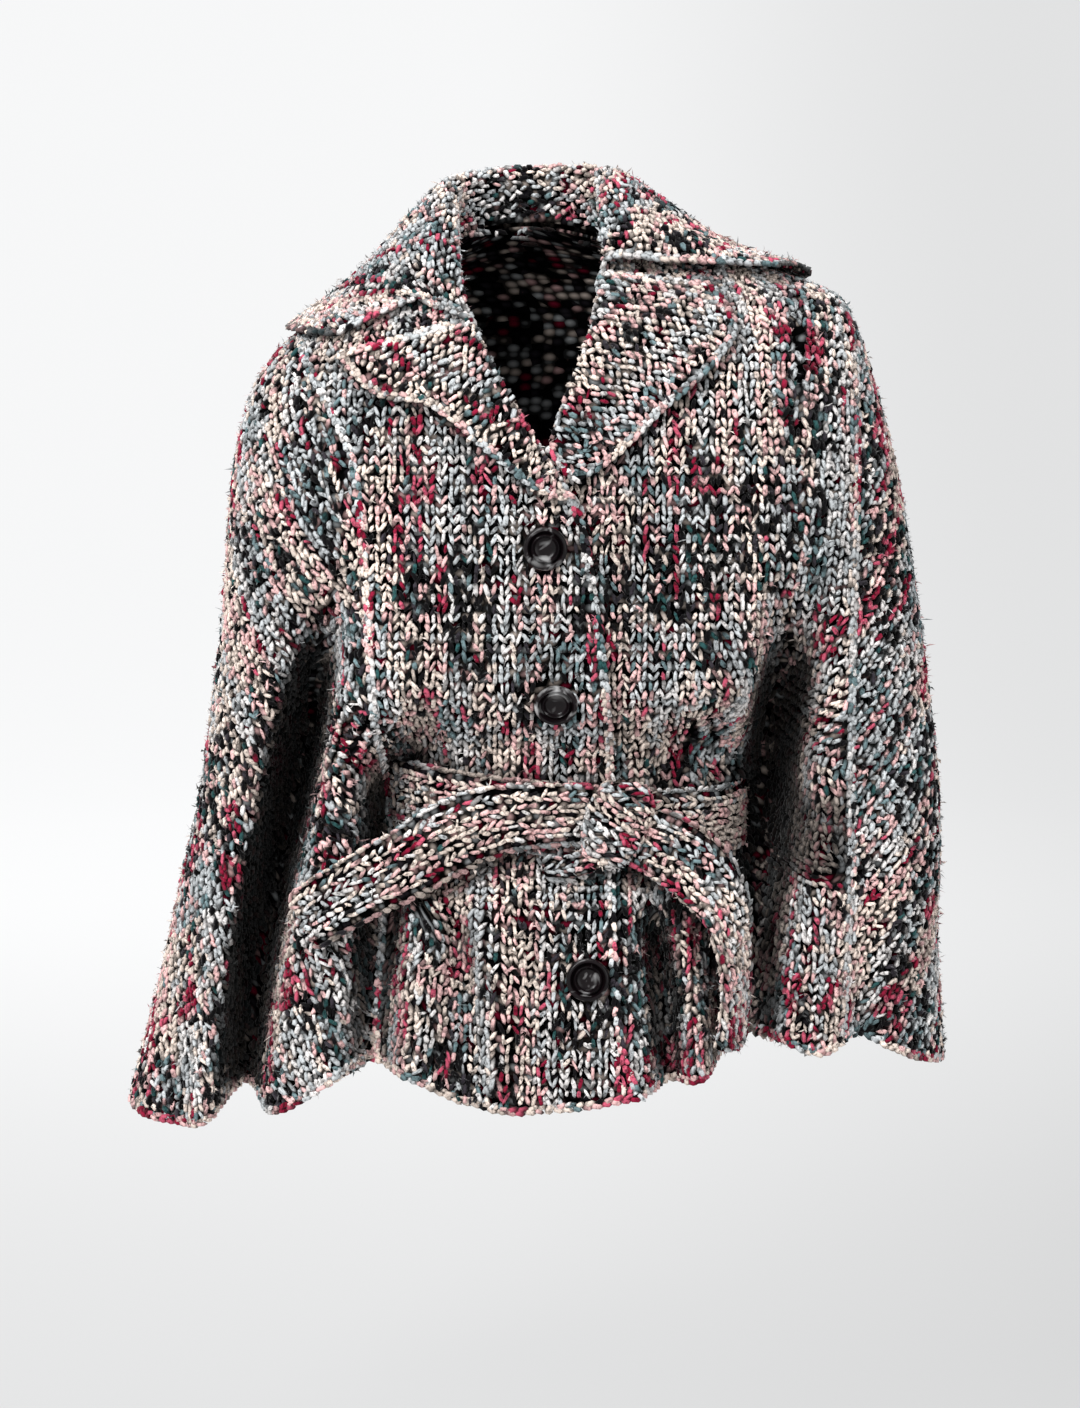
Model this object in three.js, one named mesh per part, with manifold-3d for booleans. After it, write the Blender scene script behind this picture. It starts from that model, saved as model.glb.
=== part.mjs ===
// A belted cape of thick boucle knit, in the hollow form it keeps while it is worn.
// Lengths are millimetres. +Z is up, the front faces -Y and +X is the wearer's left.
// The origin lies midway between the two neck points, where the wearer's shoulders carry the cape.
import * as THREE from "three";
import { mergeVertices } from "three/addons/utils/BufferGeometryUtils.js";
import Module from "manifold-3d";

const wasm = await Module();
wasm.setup();

// ---------- driving sizes ----------

const WALL = 4; // thickness of the knitted cloth
const SEAM = 0.3; // gap between two pieces that are sewn edge to edge
const LAYER = 1; // air between two layers that lie on each other
const BELT_WIDE = 56;
const BELT_THICK = 7; // the belt is a flattened tube of the same knit
const BUTTON_ACROSS = 33;

function table(columns, rows) {
  const names = columns.split(" ");
  return rows.map((row) => Object.fromEntries(names.map((name, i) => [name, row[i]])));
}

// The body of the cape is a stack of rings from the neck (level 0) to the hem (level 1).
// right, left, front and back are how far the ring reaches from the origin on each side,
// the z columns are its heights there, and square is 2 for an ellipse and more for a boxier ring.
const RINGS = table("level right left front back zFront zBack zRight zLeft square", [
  [0.0, 63, 63, 62, 58, -24, 12, 0, 0, 2.0],
  [0.06, 100, 118, 80, 76, -44, -2, -24, -10, 2.0],
  [0.12, 148, 188, 100, 96, -68, -22, -52, -25, 2.1],
  [0.16, 180, 238, 112, 106, -90, -42, -72, -42, 2.15],
  [0.2, 201, 252, 121, 113, -114, -70, -92, -62, 2.25],
  [0.26, 219, 265, 130, 119, -150, -112, -124, -98, 2.35],
  [0.36, 233, 287, 136, 124, -213, -182, -188, -178, 2.4],
  [0.5, 242, 306, 136, 128, -302, -284, -290, -284, 2.4],
  [0.62, 252, 317, 136, 134, -374, -362, -366, -364, 2.4],
  [0.72, 262, 325, 138, 142, -437, -430, -434, -430, 2.4],
  [0.82, 278, 327, 145, 152, -503, -500, -502, -494, 2.4],
  [0.91, 294, 326, 155, 165, -572, -568, -574, -560, 2.35],
  [1.0, 322, 333, 164, 182, -654, -650, -682, -648, 2.3],
]);
const APEX = 0.16; // level of the two shoulder points, where the wings begin
const APEX_HALF = 4; // half the width of a wing at its point

const LEVELS = [
  0, 0.04, 0.08, 0.12, 0.157, 0.16, 0.2, 0.24, 0.276, 0.31, 0.355, 0.42, 0.48, 0.54, 0.595,
  0.645, 0.69, 0.735, 0.78, 0.825, 0.87, 0.915, 0.96, 1,
];

// Folds, each a soft trough pressed into one face of the rings. at0 and at1 are its place across
// the face at its two ends, from and to are its levels, peak is the level of its full depth,
// half is half its width, depth is its full depth and hem is its depth at its lower end.
const FOLDS = table("face at0 at1 from peak to half depth hem", [
  ["front", -140, -226, 0.38, 0.7, 1.0, 30, 122, 84], // between the right wing and its bulge
  ["front", 206, 168, 0.4, 0.68, 1.0, 38, 132, 62], // between the left front and the left wing
  ["front", -106, -121, 0.58, 0.72, 1.0, 30, 92, 44], // where the belt enters on the right
  ["front", -84, -52, 0.56, 0.66, 0.74, 16, 15, 0], // gathers above the belt
  ["front", -34, -26, 0.6, 0.68, 0.74, 12, 8, 0],
  ["front", 118, 100, 0.56, 0.67, 0.74, 16, 14, 0],
  ["front", -66, -36, 0.76, 0.86, 1.0, 20, 24, 10], // flares of the peplum under the belt
  ["front", 88, 108, 0.76, 0.88, 1.0, 22, 44, 40],
  ["front", 122, 150, 0.77, 0.88, 1.0, 18, 32, 22],
  ["front", -20, 14, 0.78, 0.88, 1.0, 22, 8, 6],
  ["front", 262, 258, 0.62, 0.9, 1.0, 20, 10, 16],
  ["front", -262, -276, 0.5, 0.8, 1.0, 24, 8, 12],
  ["back", -190, -214, 0.3, 0.9, 1.0, 34, 26, 30],
  ["back", -120, -132, 0.46, 0.9, 1.0, 30, 20, 26],
  ["back", -48, -62, 0.36, 0.88, 1.0, 32, 24, 22],
  ["back", 22, 18, 0.52, 0.9, 1.0, 28, 16, 24],
  ["back", 92, 98, 0.4, 0.86, 1.0, 32, 26, 28],
  ["back", 166, 182, 0.48, 0.9, 1.0, 30, 22, 30],
  ["back", 236, 258, 0.34, 0.88, 1.0, 34, 26, 24],
  ["right", 30, 44, 0.44, 0.86, 1.0, 30, 16, 22],
  ["left", 40, 62, 0.5, 0.88, 1.0, 30, 18, 20],
]);
const ROUNDING = 8; // how far each ring is rounded off along the cloth, either way

// The hem's height across the front and across the back.
const HEM_FRONT = table("across z", [
  [-322, -683], [-262, -683], [-228, -662], [-200, -664], [-172, -650], [-141, -627], [-104, -628],
  [-78, -635], [-46, -650], [0, -655], [71, -646], [130, -634], [165, -612], [196, -608],
  [226, -620], [247, -607], [265, -612], [296, -630], [333, -648],
]);
const HEM_BACK = table("across z", [
  [-322, -683], [-230, -668], [-120, -656], [0, -650], [130, -644], [240, -642], [333, -648],
]);
const HEM_FROM = 0.74; // level where the rings begin to bend towards the hem's own line

// Where the wings are sewn to the fronts and to the back, as places across the front and the back.
const SEAMS = table("level rightFront leftFront rightBack leftBack", [
  [0.16, -180, 238, -180, 238],
  [0.2, -166, 248, -172, 238],
  [0.25, -146, 251, -160, 228],
  [0.3, -132, 251, -150, 218],
  [0.42, -124, 249, -142, 206],
  [0.595, -118, 247, -142, 200],
  [0.735, -112, 247, -148, 200],
  [0.87, -114, 246, -158, 204],
  [1.0, -119, 241, -172, 210],
]);

// The opening: the fold line of each lapel down to the first button, then the edge of the right
// front, which lies on top, and the edge of the left front, which is hidden under it.
const OPENING = table("level over under", [
  [0.0, -60, 60],
  [0.04, -58, 60],
  [0.08, -54, 58],
  [0.12, -48, 54],
  [0.16, -38, 46],
  [0.2, -25, 36],
  [0.25, -6, 25],
  [0.285, 10, 16],
  [0.32, 28, -8],
  [0.355, 38, -22],
  [0.42, 46, -24],
  [0.54, 56, -18],
  [0.69, 62, -10],
  [0.87, 63, -8],
  [0.96, 70, -2],
  [1.0, 82, 4],
]);
const OVERLAP_FROM = -52; // the right front lifts off between these two places across the front
const OVERLAP_TO = -26;

// ---------- smooth curves through the tables ----------

// The value of one column at a place, on a smooth curve through its rows.
function follow(rows, by, column, at) {
  const last = rows.length - 1;
  let k = 0;
  while (k < last - 1 && at > rows[k + 1][by]) k += 1;
  const slope = (i) => {
    const a = rows[Math.max(i - 1, 0)];
    const b = rows[Math.min(i + 1, last)];
    return (b[column] - a[column]) / (b[by] - a[by]);
  };
  const [a, b] = [rows[k], rows[k + 1]];
  const span = b[by] - a[by];
  const q = THREE.MathUtils.clamp((at - a[by]) / span, 0, 1);
  const [q2, q3] = [q * q, q * q * q];
  return (
    (2 * q3 - 3 * q2 + 1) * a[column] +
    (q3 - 2 * q2 + q) * span * slope(k) +
    (3 * q2 - 2 * q3) * b[column] +
    (q3 - q2) * span * slope(k + 1)
  );
}

const ease = (from, to, at) => THREE.MathUtils.smoothstep(at, from, to);
const signedPower = (value, power) => Math.sign(value) * Math.abs(value) ** power;

// ---------- the belt's own path round the waist ----------

const BELT = { x: 28, side: 141, front: 118, back: 100, square: 2.3, z: -440, tilt: -0.085 };

function beltPlan(turn) {
  const depth = Math.cos(turn) > 0 ? BELT.front : BELT.back;
  const x = BELT.x + BELT.side * signedPower(Math.sin(turn), 2 / BELT.square);
  const y = -depth * signedPower(Math.cos(turn), 2 / BELT.square);
  return new THREE.Vector3(x, y, BELT.z + BELT.tilt * (x - BELT.x));
}

// How far forward the middle of the belt is at a place across the front.
function beltFront(x) {
  const share = Math.min(Math.abs(x - BELT.x) / BELT.side, 1);
  return -BELT.front * (1 - share ** BELT.square) ** (1 / BELT.square);
}

// The belt draws the fronts in between the two places where it goes through the cloth.
const CINCH = { right: -98, left: 160, soft: 14, top: 0.66, bottom: 0.775, above: 0.11, below: 0.06 };

function cinched(x, y, level) {
  const across = ease(CINCH.right - CINCH.soft, CINCH.right + CINCH.soft, x) *
    (1 - ease(CINCH.left - CINCH.soft, CINCH.left + CINCH.soft, x));
  const down = ease(CINCH.top - CINCH.above, CINCH.top, level) *
    (1 - ease(CINCH.bottom, CINCH.bottom + CINCH.below, level));
  const room = BELT_THICK / 2 + 2 * LAYER + (WALL + LAYER) * ease(OVERLAP_FROM, OVERLAP_TO, x);
  const drawn = Math.max(y, beltFront(x) + room);
  return y + (drawn - y) * across * down;
}

// ---------- the rings ----------

const RING_STEPS = 720;
const CLOTH_STEPS = 640;

function foldDepth(fold, level) {
  if (level <= fold.from) return 0;
  if (level < fold.peak) return fold.depth * ease(fold.from, fold.peak, level);
  return fold.depth + (fold.hem - fold.depth) * ease(fold.peak, fold.to, level);
}

const FACES = {
  front: (x, y) => ({ on: y < 0, place: x, push: [0, 1] }),
  back: (x, y) => ({ on: y > 0, place: x, push: [0, -1] }),
  right: (x, y) => ({ on: x < 0, place: y, push: [1, 0] }),
  left: (x, y) => ({ on: x > 0, place: y, push: [-1, 0] }),
};

// Columns of points gather where a fold is deep, and begin to gather a little above it.
const GATHER = 1.3;
const GATHER_ABOVE = 0.12;

function ringPoint(turn, level) {
  const value = (column) => follow(RINGS, "level", column, level);
  const [s, c] = [Math.sin(turn), Math.cos(turn)];
  const power = 2 / value("square");
  const x = value(s < 0 ? "right" : "left") * signedPower(s, power);
  let y = -value(c > 0 ? "front" : "back") * signedPower(c, power);
  let z = value(s < 0 ? "zRight" : "zLeft") * s * s + value(c > 0 ? "zFront" : "zBack") * c * c;
  const hem = follow(c > 0 ? HEM_FRONT : HEM_BACK, "across", "z", x);
  const plain = (s < 0 ? RINGS.at(-1).zRight : RINGS.at(-1).zLeft) * s * s +
    (c > 0 ? RINGS.at(-1).zFront : RINGS.at(-1).zBack) * c * c;
  z += (hem - plain) * ease(HEM_FROM, 1, level);
  const plan = [x, y];
  let crowd = 1;
  let [moveX, moveY] = [0, 0];
  if (c > 0) y = cinched(x, y, level);
  for (const fold of FOLDS) {
    const depth = level <= fold.to ? foldDepth(fold, level) : 0;
    const face = FACES[fold.face](x, y);
    const at = THREE.MathUtils.mapLinear(level, fold.from, fold.to, fold.at0, fold.at1);
    const q = (face.place - at) / fold.half;
    if (!face.on || Math.abs(q) >= 1.2) continue;
    const gathers = ease(fold.from - GATHER_ABOVE, fold.peak, level) * (level <= fold.to ? 1 : 0);
    crowd += (GATHER * Math.max(fold.depth, fold.hem) * gathers * (1 - (q / 1.2) ** 2)) / fold.half;
    if (Math.abs(q) >= 1) continue;
    const bell = (1 - q * q) ** 2;
    moveX += face.push[0] * depth * bell;
    moveY += face.push[1] * depth * bell;
  }
  return { point: [x + moveX, y + moveY, z, turn, 0], plan, crowd };
}

// Spaces a closed line of [x, y, z, turn, column] evenly along its length. Once round, turn grows
// by a whole turn and column by wrap.
function evenly(line, steps, wrap) {
  const total = line.length;
  const reach = [0];
  for (let i = 1; i <= total; i++) {
    const [a, b] = [line[i - 1], line[i % total]];
    reach.push(reach[i - 1] + Math.hypot(b[0] - a[0], b[1] - a[1], b[2] - a[2]));
  }
  const out = [];
  let i = 0;
  for (let k = 0; k < steps; k++) {
    const want = (reach[total] * k) / steps;
    while (reach[i + 1] < want) i += 1;
    const q = (want - reach[i]) / (reach[i + 1] - reach[i]);
    const [a, b] = [line[i], line[(i + 1) % total]];
    const once = i + 1 === total ? [0, 0, 0, 2 * Math.PI, wrap] : [0, 0, 0, 0, 0];
    out.push(a.map((v, n) => v + (b[n] + once[n] - v) * q));
  }
  return { points: out, length: reach[total] };
}

const rings = new Map();

// One ring of cloth: its points go from the middle of the back, by the wearer's right and the
// front, to the left. cloth is the distance along the cloth from the middle of the front.
function ringAt(level) {
  const key = level.toFixed(5);
  if (rings.has(key)) return rings.get(key);
  const made = [];
  for (let k = 0; k < RING_STEPS; k++)
    made.push(ringPoint(-Math.PI + (2 * Math.PI * k) / RING_STEPS, level));
  let column = 0;
  made.forEach(({ point, plan, crowd }, k) => {
    const next = made[(k + 1) % RING_STEPS].plan;
    point[4] = column;
    column += crowd * Math.hypot(next[0] - plan[0], next[1] - plan[1]);
  });
  let { points, length } = evenly(made.map(({ point }) => point), CLOTH_STEPS, column);
  const reach = Math.max(1, Math.round((ROUNDING / length) * CLOTH_STEPS));
  const rounded = Math.min(reach, Math.floor(level * 60));
  for (let pass = 0; pass < 2 && rounded > 0; pass++)
    points = points.map((p, i) => {
      const mean = [0, 0, 0];
      for (let d = -rounded; d <= rounded; d++) {
        const q = points[(i + d + CLOTH_STEPS) % CLOTH_STEPS];
        for (let n = 0; n < 3; n++) mean[n] += q[n] / (2 * rounded + 1);
      }
      return [...mean, p[3], p[4]];
    });
  ({ points, length } = evenly(points, CLOTH_STEPS, column));
  const step = length / CLOTH_STEPS;
  let middle = 0;
  for (let i = 1; i < CLOTH_STEPS; i++)
    if (points[i][1] < 0 && points[i - 1][0] < 0 && points[i][0] >= 0)
      middle = i - points[i][0] / (points[i][0] - points[i - 1][0]);
  const ring = { level, points, length, step, middle, columns: column };
  rings.set(key, ring);
  return ring;
}

function onRing(ring, cloth) {
  const at = ring.middle + cloth / ring.step;
  const i = Math.floor(at);
  const q = at - i;
  const a = ring.points[((i % CLOTH_STEPS) + CLOTH_STEPS) % CLOTH_STEPS];
  const b = ring.points[(((i + 1) % CLOTH_STEPS) + CLOTH_STEPS) % CLOTH_STEPS];
  return new THREE.Vector3(...[0, 1, 2].map((n) => a[n] + (b[n] - a[n]) * q));
}

// The column at a distance along the cloth, and the distance along the cloth to a column.
function columnAt(ring, cloth) {
  const at = ring.middle + cloth / ring.step;
  const i = Math.floor(at);
  const lap = (k) => Math.floor(k / CLOTH_STEPS) * ring.columns;
  const value = (k) => ring.points[((k % CLOTH_STEPS) + CLOTH_STEPS) % CLOTH_STEPS][4] + lap(k);
  return value(i) + (value(i + 1) - value(i)) * (at - i);
}

function clothToColumn(ring, column, from, to) {
  let [low, high] = [from, to];
  for (let k = 0; k < 24; k++) {
    const middle = (low + high) / 2;
    if (columnAt(ring, middle) < column) low = middle;
    else high = middle;
  }
  return (low + high) / 2;
}

// A point of the cloth's outer face and the direction out of the cloth there.
function spot(level, cloth) {
  const ring = ringAt(level);
  const up = ringAt(Math.max(level - 0.006, 0));
  const down = ringAt(Math.min(level + 0.006, 1));
  const along = onRing(ring, cloth + 5).sub(onRing(ring, cloth - 5));
  const fall = onRing(down, (cloth * down.length) / ring.length)
    .sub(onRing(up, (cloth * up.length) / ring.length));
  return { point: onRing(ring, cloth), out: fall.cross(along).normalize() };
}

// The distance along the cloth to a place across the front, or across the back.
function clothAt(ring, x, face) {
  const side = Math.sign(x) || 1;
  const half = ring.length / 2;
  const seek = face === "front" ? (d) => side * d : (d) => side * (half - d);
  let before = onRing(ring, seek(0)).x;
  for (let d = ring.step; d < half; d += ring.step) {
    const now = onRing(ring, seek(d)).x;
    if ((now - x) * side >= 0) return seek(d - ring.step * ((now - x) / (now - before || 1)));
    before = now;
    if (face === "front" ? onRing(ring, seek(d)).y > 0 && d > half / 3 : false) break;
  }
  return sideCloth(ring, side);
}

// The distance along the cloth to the ring's outermost point on one side.
function sideCloth(ring, side) {
  let best = 0;
  for (let d = 0; d < ring.length / 2; d += ring.step)
    if (onRing(ring, side * d).x * side > onRing(ring, side * best).x * side) best = d;
  return side * best;
}

function seamCloth(level, column, side, face) {
  const ring = ringAt(level);
  const edge = sideCloth(ring, side);
  const towards = (face === "front" ? -1 : 1) * side;
  if (level <= APEX + 1e-6) return level < APEX - 1e-6 ? edge : edge + towards * APEX_HALF;
  const x = follow(SEAMS, "level", column, level);
  const found = clothAt(ring, x, face);
  return (found - edge) * towards > APEX_HALF ? found : edge + towards * APEX_HALF;
}

// The point of the front, and the level, at a place across and a height.
function frontSpot(x, z) {
  const height = (level) => onRing(ringAt(level), clothAt(ringAt(level), x, "front")).z;
  let [low, high] = [0, 1];
  for (let k = 0; k < 14; k++) {
    const middle = (low + high) / 2;
    if (height(middle) > z) low = middle;
    else high = middle;
  }
  const level = (low + high) / 2;
  return spot(level, clothAt(ringAt(level), x, "front"));
}

// The distance along the cloth to a direction round the wearer, in degrees from the front.
function turnSpot(level, degrees) {
  const ring = ringAt(level);
  const lap = Math.floor((degrees + 180) / 360);
  const want = THREE.MathUtils.degToRad(degrees - 360 * lap);
  let i = ring.points.findIndex((p) => p[3] >= want);
  if (i < 0) i = CLOTH_STEPS;
  const before = i > 0 ? ring.points[i - 1][3] : ring.points[CLOTH_STEPS - 1][3] - 2 * Math.PI;
  const after = i < CLOTH_STEPS ? ring.points[i][3] : ring.points[0][3] + 2 * Math.PI;
  return spot(level, (i - (after - want) / (after - before) - ring.middle) * ring.step);
}

// ---------- closed shells ----------

function solidOf(geometry) {
  const bare = geometry.index ? geometry.toNonIndexed() : geometry.clone();
  bare.deleteAttribute("normal");
  bare.deleteAttribute("uv");
  const merged = mergeVertices(bare, 1e-3);
  return new wasm.Manifold(
    new wasm.Mesh({
      numProp: 3,
      vertProperties: new Float32Array(merged.attributes.position.array),
      triVerts: new Uint32Array(merged.index.array),
    }),
  );
}

function geometryOf(solid) {
  const mesh = solid.getMesh();
  const flat = new Float32Array(mesh.numVert * 3);
  for (let i = 0; i < mesh.numVert; i++)
    for (let n = 0; n < 3; n++) flat[3 * i + n] = mesh.vertProperties[i * mesh.numProp + n];
  return new THREE.BufferGeometry()
    .setAttribute("position", new THREE.BufferAttribute(flat, 3))
    .setIndex(new THREE.BufferAttribute(new Uint32Array(mesh.triVerts), 1));
}

function geometryFrom(points, faces) {
  let volume = 0;
  for (const [a, b, c] of faces)
    volume += points[a].dot(points[b].clone().cross(points[c])) / 6;
  const turned = volume < 0 ? faces.map(([a, b, c]) => [a, c, b]) : faces;
  return new THREE.BufferGeometry().setFromPoints(points).setIndex(turned.flat());
}

// A wall between two grids of points, closed all round. around joins the last column to the first.
function wallBetween(outer, inner, around = false) {
  const rows = outer.length;
  const columns = outer[0].length;
  const points = [...outer.flat(), ...inner.flat()];
  const out = (i, j) => i * columns + (j % columns);
  const inn = (i, j) => rows * columns + out(i, j);
  const faces = [];
  const quad = (a, b, c, d) => faces.push([a, b, c], [a, c, d]);
  const last = around ? columns : columns - 1;
  for (let i = 0; i < rows - 1; i++)
    for (let j = 0; j < last; j++) {
      quad(out(i, j), out(i + 1, j), out(i + 1, j + 1), out(i, j + 1));
      quad(inn(i, j), inn(i, j + 1), inn(i + 1, j + 1), inn(i + 1, j));
    }
  for (let j = 0; j < last; j++) {
    quad(out(0, j + 1), inn(0, j + 1), inn(0, j), out(0, j));
    quad(out(rows - 1, j), inn(rows - 1, j), inn(rows - 1, j + 1), out(rows - 1, j + 1));
  }
  for (let i = 0; i < rows - 1 && !around; i++) {
    quad(out(i, 0), inn(i, 0), inn(i + 1, 0), out(i + 1, 0));
    quad(out(i, last), out(i + 1, last), inn(i + 1, last), inn(i, last));
  }
  return geometryFrom(points, faces);
}

// A closed tube through a list of sections, each a loop of points, with flat ends.
function tubeThrough(sections, around = false) {
  const n = sections[0].length;
  const points = sections.flat();
  const faces = [];
  const last = around ? sections.length : sections.length - 1;
  for (let i = 0; i < last; i++)
    for (let j = 0; j < n; j++) {
      const here = i * n;
      const next = ((i + 1) % sections.length) * n;
      const beside = (j + 1) % n;
      faces.push([here + j, here + beside, next + beside], [here + j, next + beside, next + j]);
    }
  for (let j = 1; j < n - 1 && !around; j++) {
    const end = (sections.length - 1) * n;
    faces.push([0, j + 1, j], [end, end + j, end + j + 1]);
  }
  return geometryFrom(points, faces);
}

// ---------- panels ----------

function panel(levels, columns, from, to, lift = () => 0) {
  const outer = [];
  const inner = [];
  for (const level of levels) {
    const ring = ringAt(level);
    const [start, end] = [from(level), to(level)];
    const [first, last] = [columnAt(ring, start), columnAt(ring, end)];
    const row = [];
    const under = [];
    for (let j = 0; j <= columns; j++) {
      const column = first + ((last - first) * j) / columns;
      const inside = j > 0 && j < columns;
      const cloth = inside ? clothToColumn(ring, column, start, end) : [start, end][Math.sign(j)];
      const { point, out } = spot(level, cloth);
      const raised = point.clone().addScaledVector(out, lift(point.x, level));
      row.push(raised);
      under.push(raised.clone().addScaledVector(out, -WALL));
    }
    outer.push(row);
    inner.push(under);
  }
  return wallBetween(outer, inner);
}

const wingLevels = LEVELS.filter((level) => level >= APEX);
const openingCloth = (level, column) =>
  clothAt(ringAt(level), follow(OPENING, "level", column, level), "front");
const overlapLift = (x) => (WALL + LAYER) * ease(OVERLAP_FROM, OVERLAP_TO, x);

function frontRight() {
  const seam = (level) => seamCloth(level, "rightFront", -1, "front") + SEAM / 2;
  return panel(LEVELS, 16, seam, (level) => openingCloth(level, "over"), overlapLift);
}

// The left front's edge is a band of its own, hidden under the right front and the lapel.
const BAND_WIDE = 38;
const BAND_SHARE = 0.35; // of the left front's width, where that is narrow

function bandSeam(level) {
  const under = openingCloth(level, "under");
  const across = seamCloth(level, "leftFront", 1, "front") - under;
  return under + Math.min(BAND_WIDE, across * BAND_SHARE);
}

function bandLeft() {
  const seam = (level) => bandSeam(level) - SEAM / 2;
  return panel(LEVELS, 4, (level) => openingCloth(level, "under"), seam);
}

function frontLeft() {
  const seam = (level) => seamCloth(level, "leftFront", 1, "front") - SEAM / 2;
  return panel(LEVELS, 25, (level) => bandSeam(level) + SEAM / 2, seam);
}

function wingRight() {
  const back = (level) => seamCloth(level, "rightBack", -1, "back") + SEAM / 2;
  const front = (level) => seamCloth(level, "rightFront", -1, "front") - SEAM / 2;
  return panel(wingLevels, 34, back, front);
}

function wingLeft() {
  const front = (level) => seamCloth(level, "leftFront", 1, "front") + SEAM / 2;
  const back = (level) => seamCloth(level, "leftBack", 1, "back") - SEAM / 2;
  return panel(wingLevels, 15, front, back);
}

function back() {
  const left = (level) => seamCloth(level, "leftBack", 1, "back") + SEAM / 2;
  const right = (level) =>
    ringAt(level).length + seamCloth(level, "rightBack", -1, "back") - SEAM / 2;
  return panel(LEVELS, 22, left, right);
}

// ---------- lapels ----------

// Each row is a line across a lapel: the level where it leaves the fold line, and the place and
// height of its other end on the lapel's outer edge.
const LAPEL_RIGHT = table("level edgeX edgeZ", [
  [0.312, 30, -191],
  [0.275, 2, -181],
  [0.23, -34, -152],
  [0.18, -74, -122],
  [0.148, -112, -116],
  [0.118, -141, -90],
]);
const LAPEL_LEFT = table("level edgeX edgeZ", [
  [0.276, 33, -178],
  [0.25, 62, -160],
  [0.2, 96, -128],
  [0.145, 128, -101],
  [0.095, 153, -70],
  [0.05, 138, -40],
]);
const LAPEL_ROWS = 11;
const LAPEL_SPREAD = [0.2, 0.4, 0.6, 0.8, 1];
const FOLD_RADIUS = 5.5; // outer radius of the fold
const FOLD_STEPS = 4;
const FOLD_CLEAR = 1.2; // from the front's edge to the fold
const LAPEL_LIFT = 2 * FOLD_RADIUS - WALL; // the lapel's outer face above the front's

function lapel(rows, opening, lift) {
  const last = rows.length - 1;
  const numbered = rows.map((row, i) => ({ ...row, along: i / last }));
  const value = (column, along) => follow(numbered, "along", column, along);
  const outer = [];
  const inner = [];
  for (let i = 0; i < LAPEL_ROWS; i++) {
    const along = i / (LAPEL_ROWS - 1);
    const at = spot(value("level", along), openingCloth(value("level", along), opening));
    const edge = new THREE.Vector2(value("edgeX", along), value("edgeZ", along));
    const roll = new THREE.Vector2(at.point.x, at.point.z);
    const place = roll.clone().lerp(edge, 0.1); // a place on the lapel just past its fold
    const base = at.point.clone().addScaledVector(at.out, lift(roll.x));
    const into = frontSpot(place.x, place.y).point.sub(at.point);
    into.addScaledVector(at.out, -into.dot(at.out)).normalize();
    const centre = base.clone().addScaledVector(into, -FOLD_CLEAR)
      .addScaledVector(at.out, FOLD_RADIUS - WALL);
    const row = [];
    const under = [];
    for (let k = 0; k <= FOLD_STEPS; k++) {
      const turn = -Math.PI / 2 - (Math.PI * k) / FOLD_STEPS;
      const ray = into.clone().multiplyScalar(Math.cos(turn))
        .addScaledVector(at.out, Math.sin(turn));
      row.push(centre.clone().addScaledVector(ray, FOLD_RADIUS));
      under.push(centre.clone().addScaledVector(ray, FOLD_RADIUS - WALL));
    }
    for (const share of LAPEL_SPREAD) {
      place.copy(roll).lerp(edge, share);
      const down = frontSpot(place.x, place.y);
      const rise = lift(place.x) + LAPEL_LIFT;
      row.push(down.point.clone().addScaledVector(down.out, rise));
      under.push(down.point.clone().addScaledVector(down.out, rise - WALL));
    }
    outer.push(row);
    inner.push(under);
  }
  return wallBetween(outer, inner);
}

// ---------- collar ----------

// Each row is a section of the collar: where its stand is seated on the neck edge, the top of its
// roll, and where the edge of its fall lies on the shoulders. seat and fall are directions in
// degrees round the wearer from the front, each with its level on the rings. loft is how far the
// fall stands off the shoulders halfway down and rise how far at its edge.
const COLLAR = table("seat seatLevel rollX rollY rollZ fall fallLevel loft rise", [
  [-22, 0.108, -48, -100, -60, -53, 0.157, 3, 2],
  [-37, 0.055, -58, -66, -20, -73, 0.163, 6, 2],
  [-68, 0.0, -65, -14, 30, -98, 0.164, 8, 2],
  [-130, 0.0, -52, 38, 48, -138, 0.176, 6, 3],
  [-180, 0.0, 0, 62, 54, -180, 0.19, 7, 3],
  [-230, 0.0, 52, 38, 53, -222, 0.168, 8, 3],
  [-292, 0.0, 65, -14, 41, -261, 0.142, 9, 3],
  [-311, 0.02, 66, -42, 13, -277, 0.13, 13, 4],
  [-326, 0.05, 62, -68, -15, -290, 0.128, 9, 8],
]);
const COLLAR_SEAT = 2.6; // the stand's foot above the neck edge of the body
const COLLAR_COLUMNS = 30;
const COLLAR_SPREAD = [0, 0.1, 0.2, 0.28, 0.36, 0.46, 0.6, 0.74, 0.88, 1];

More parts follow.
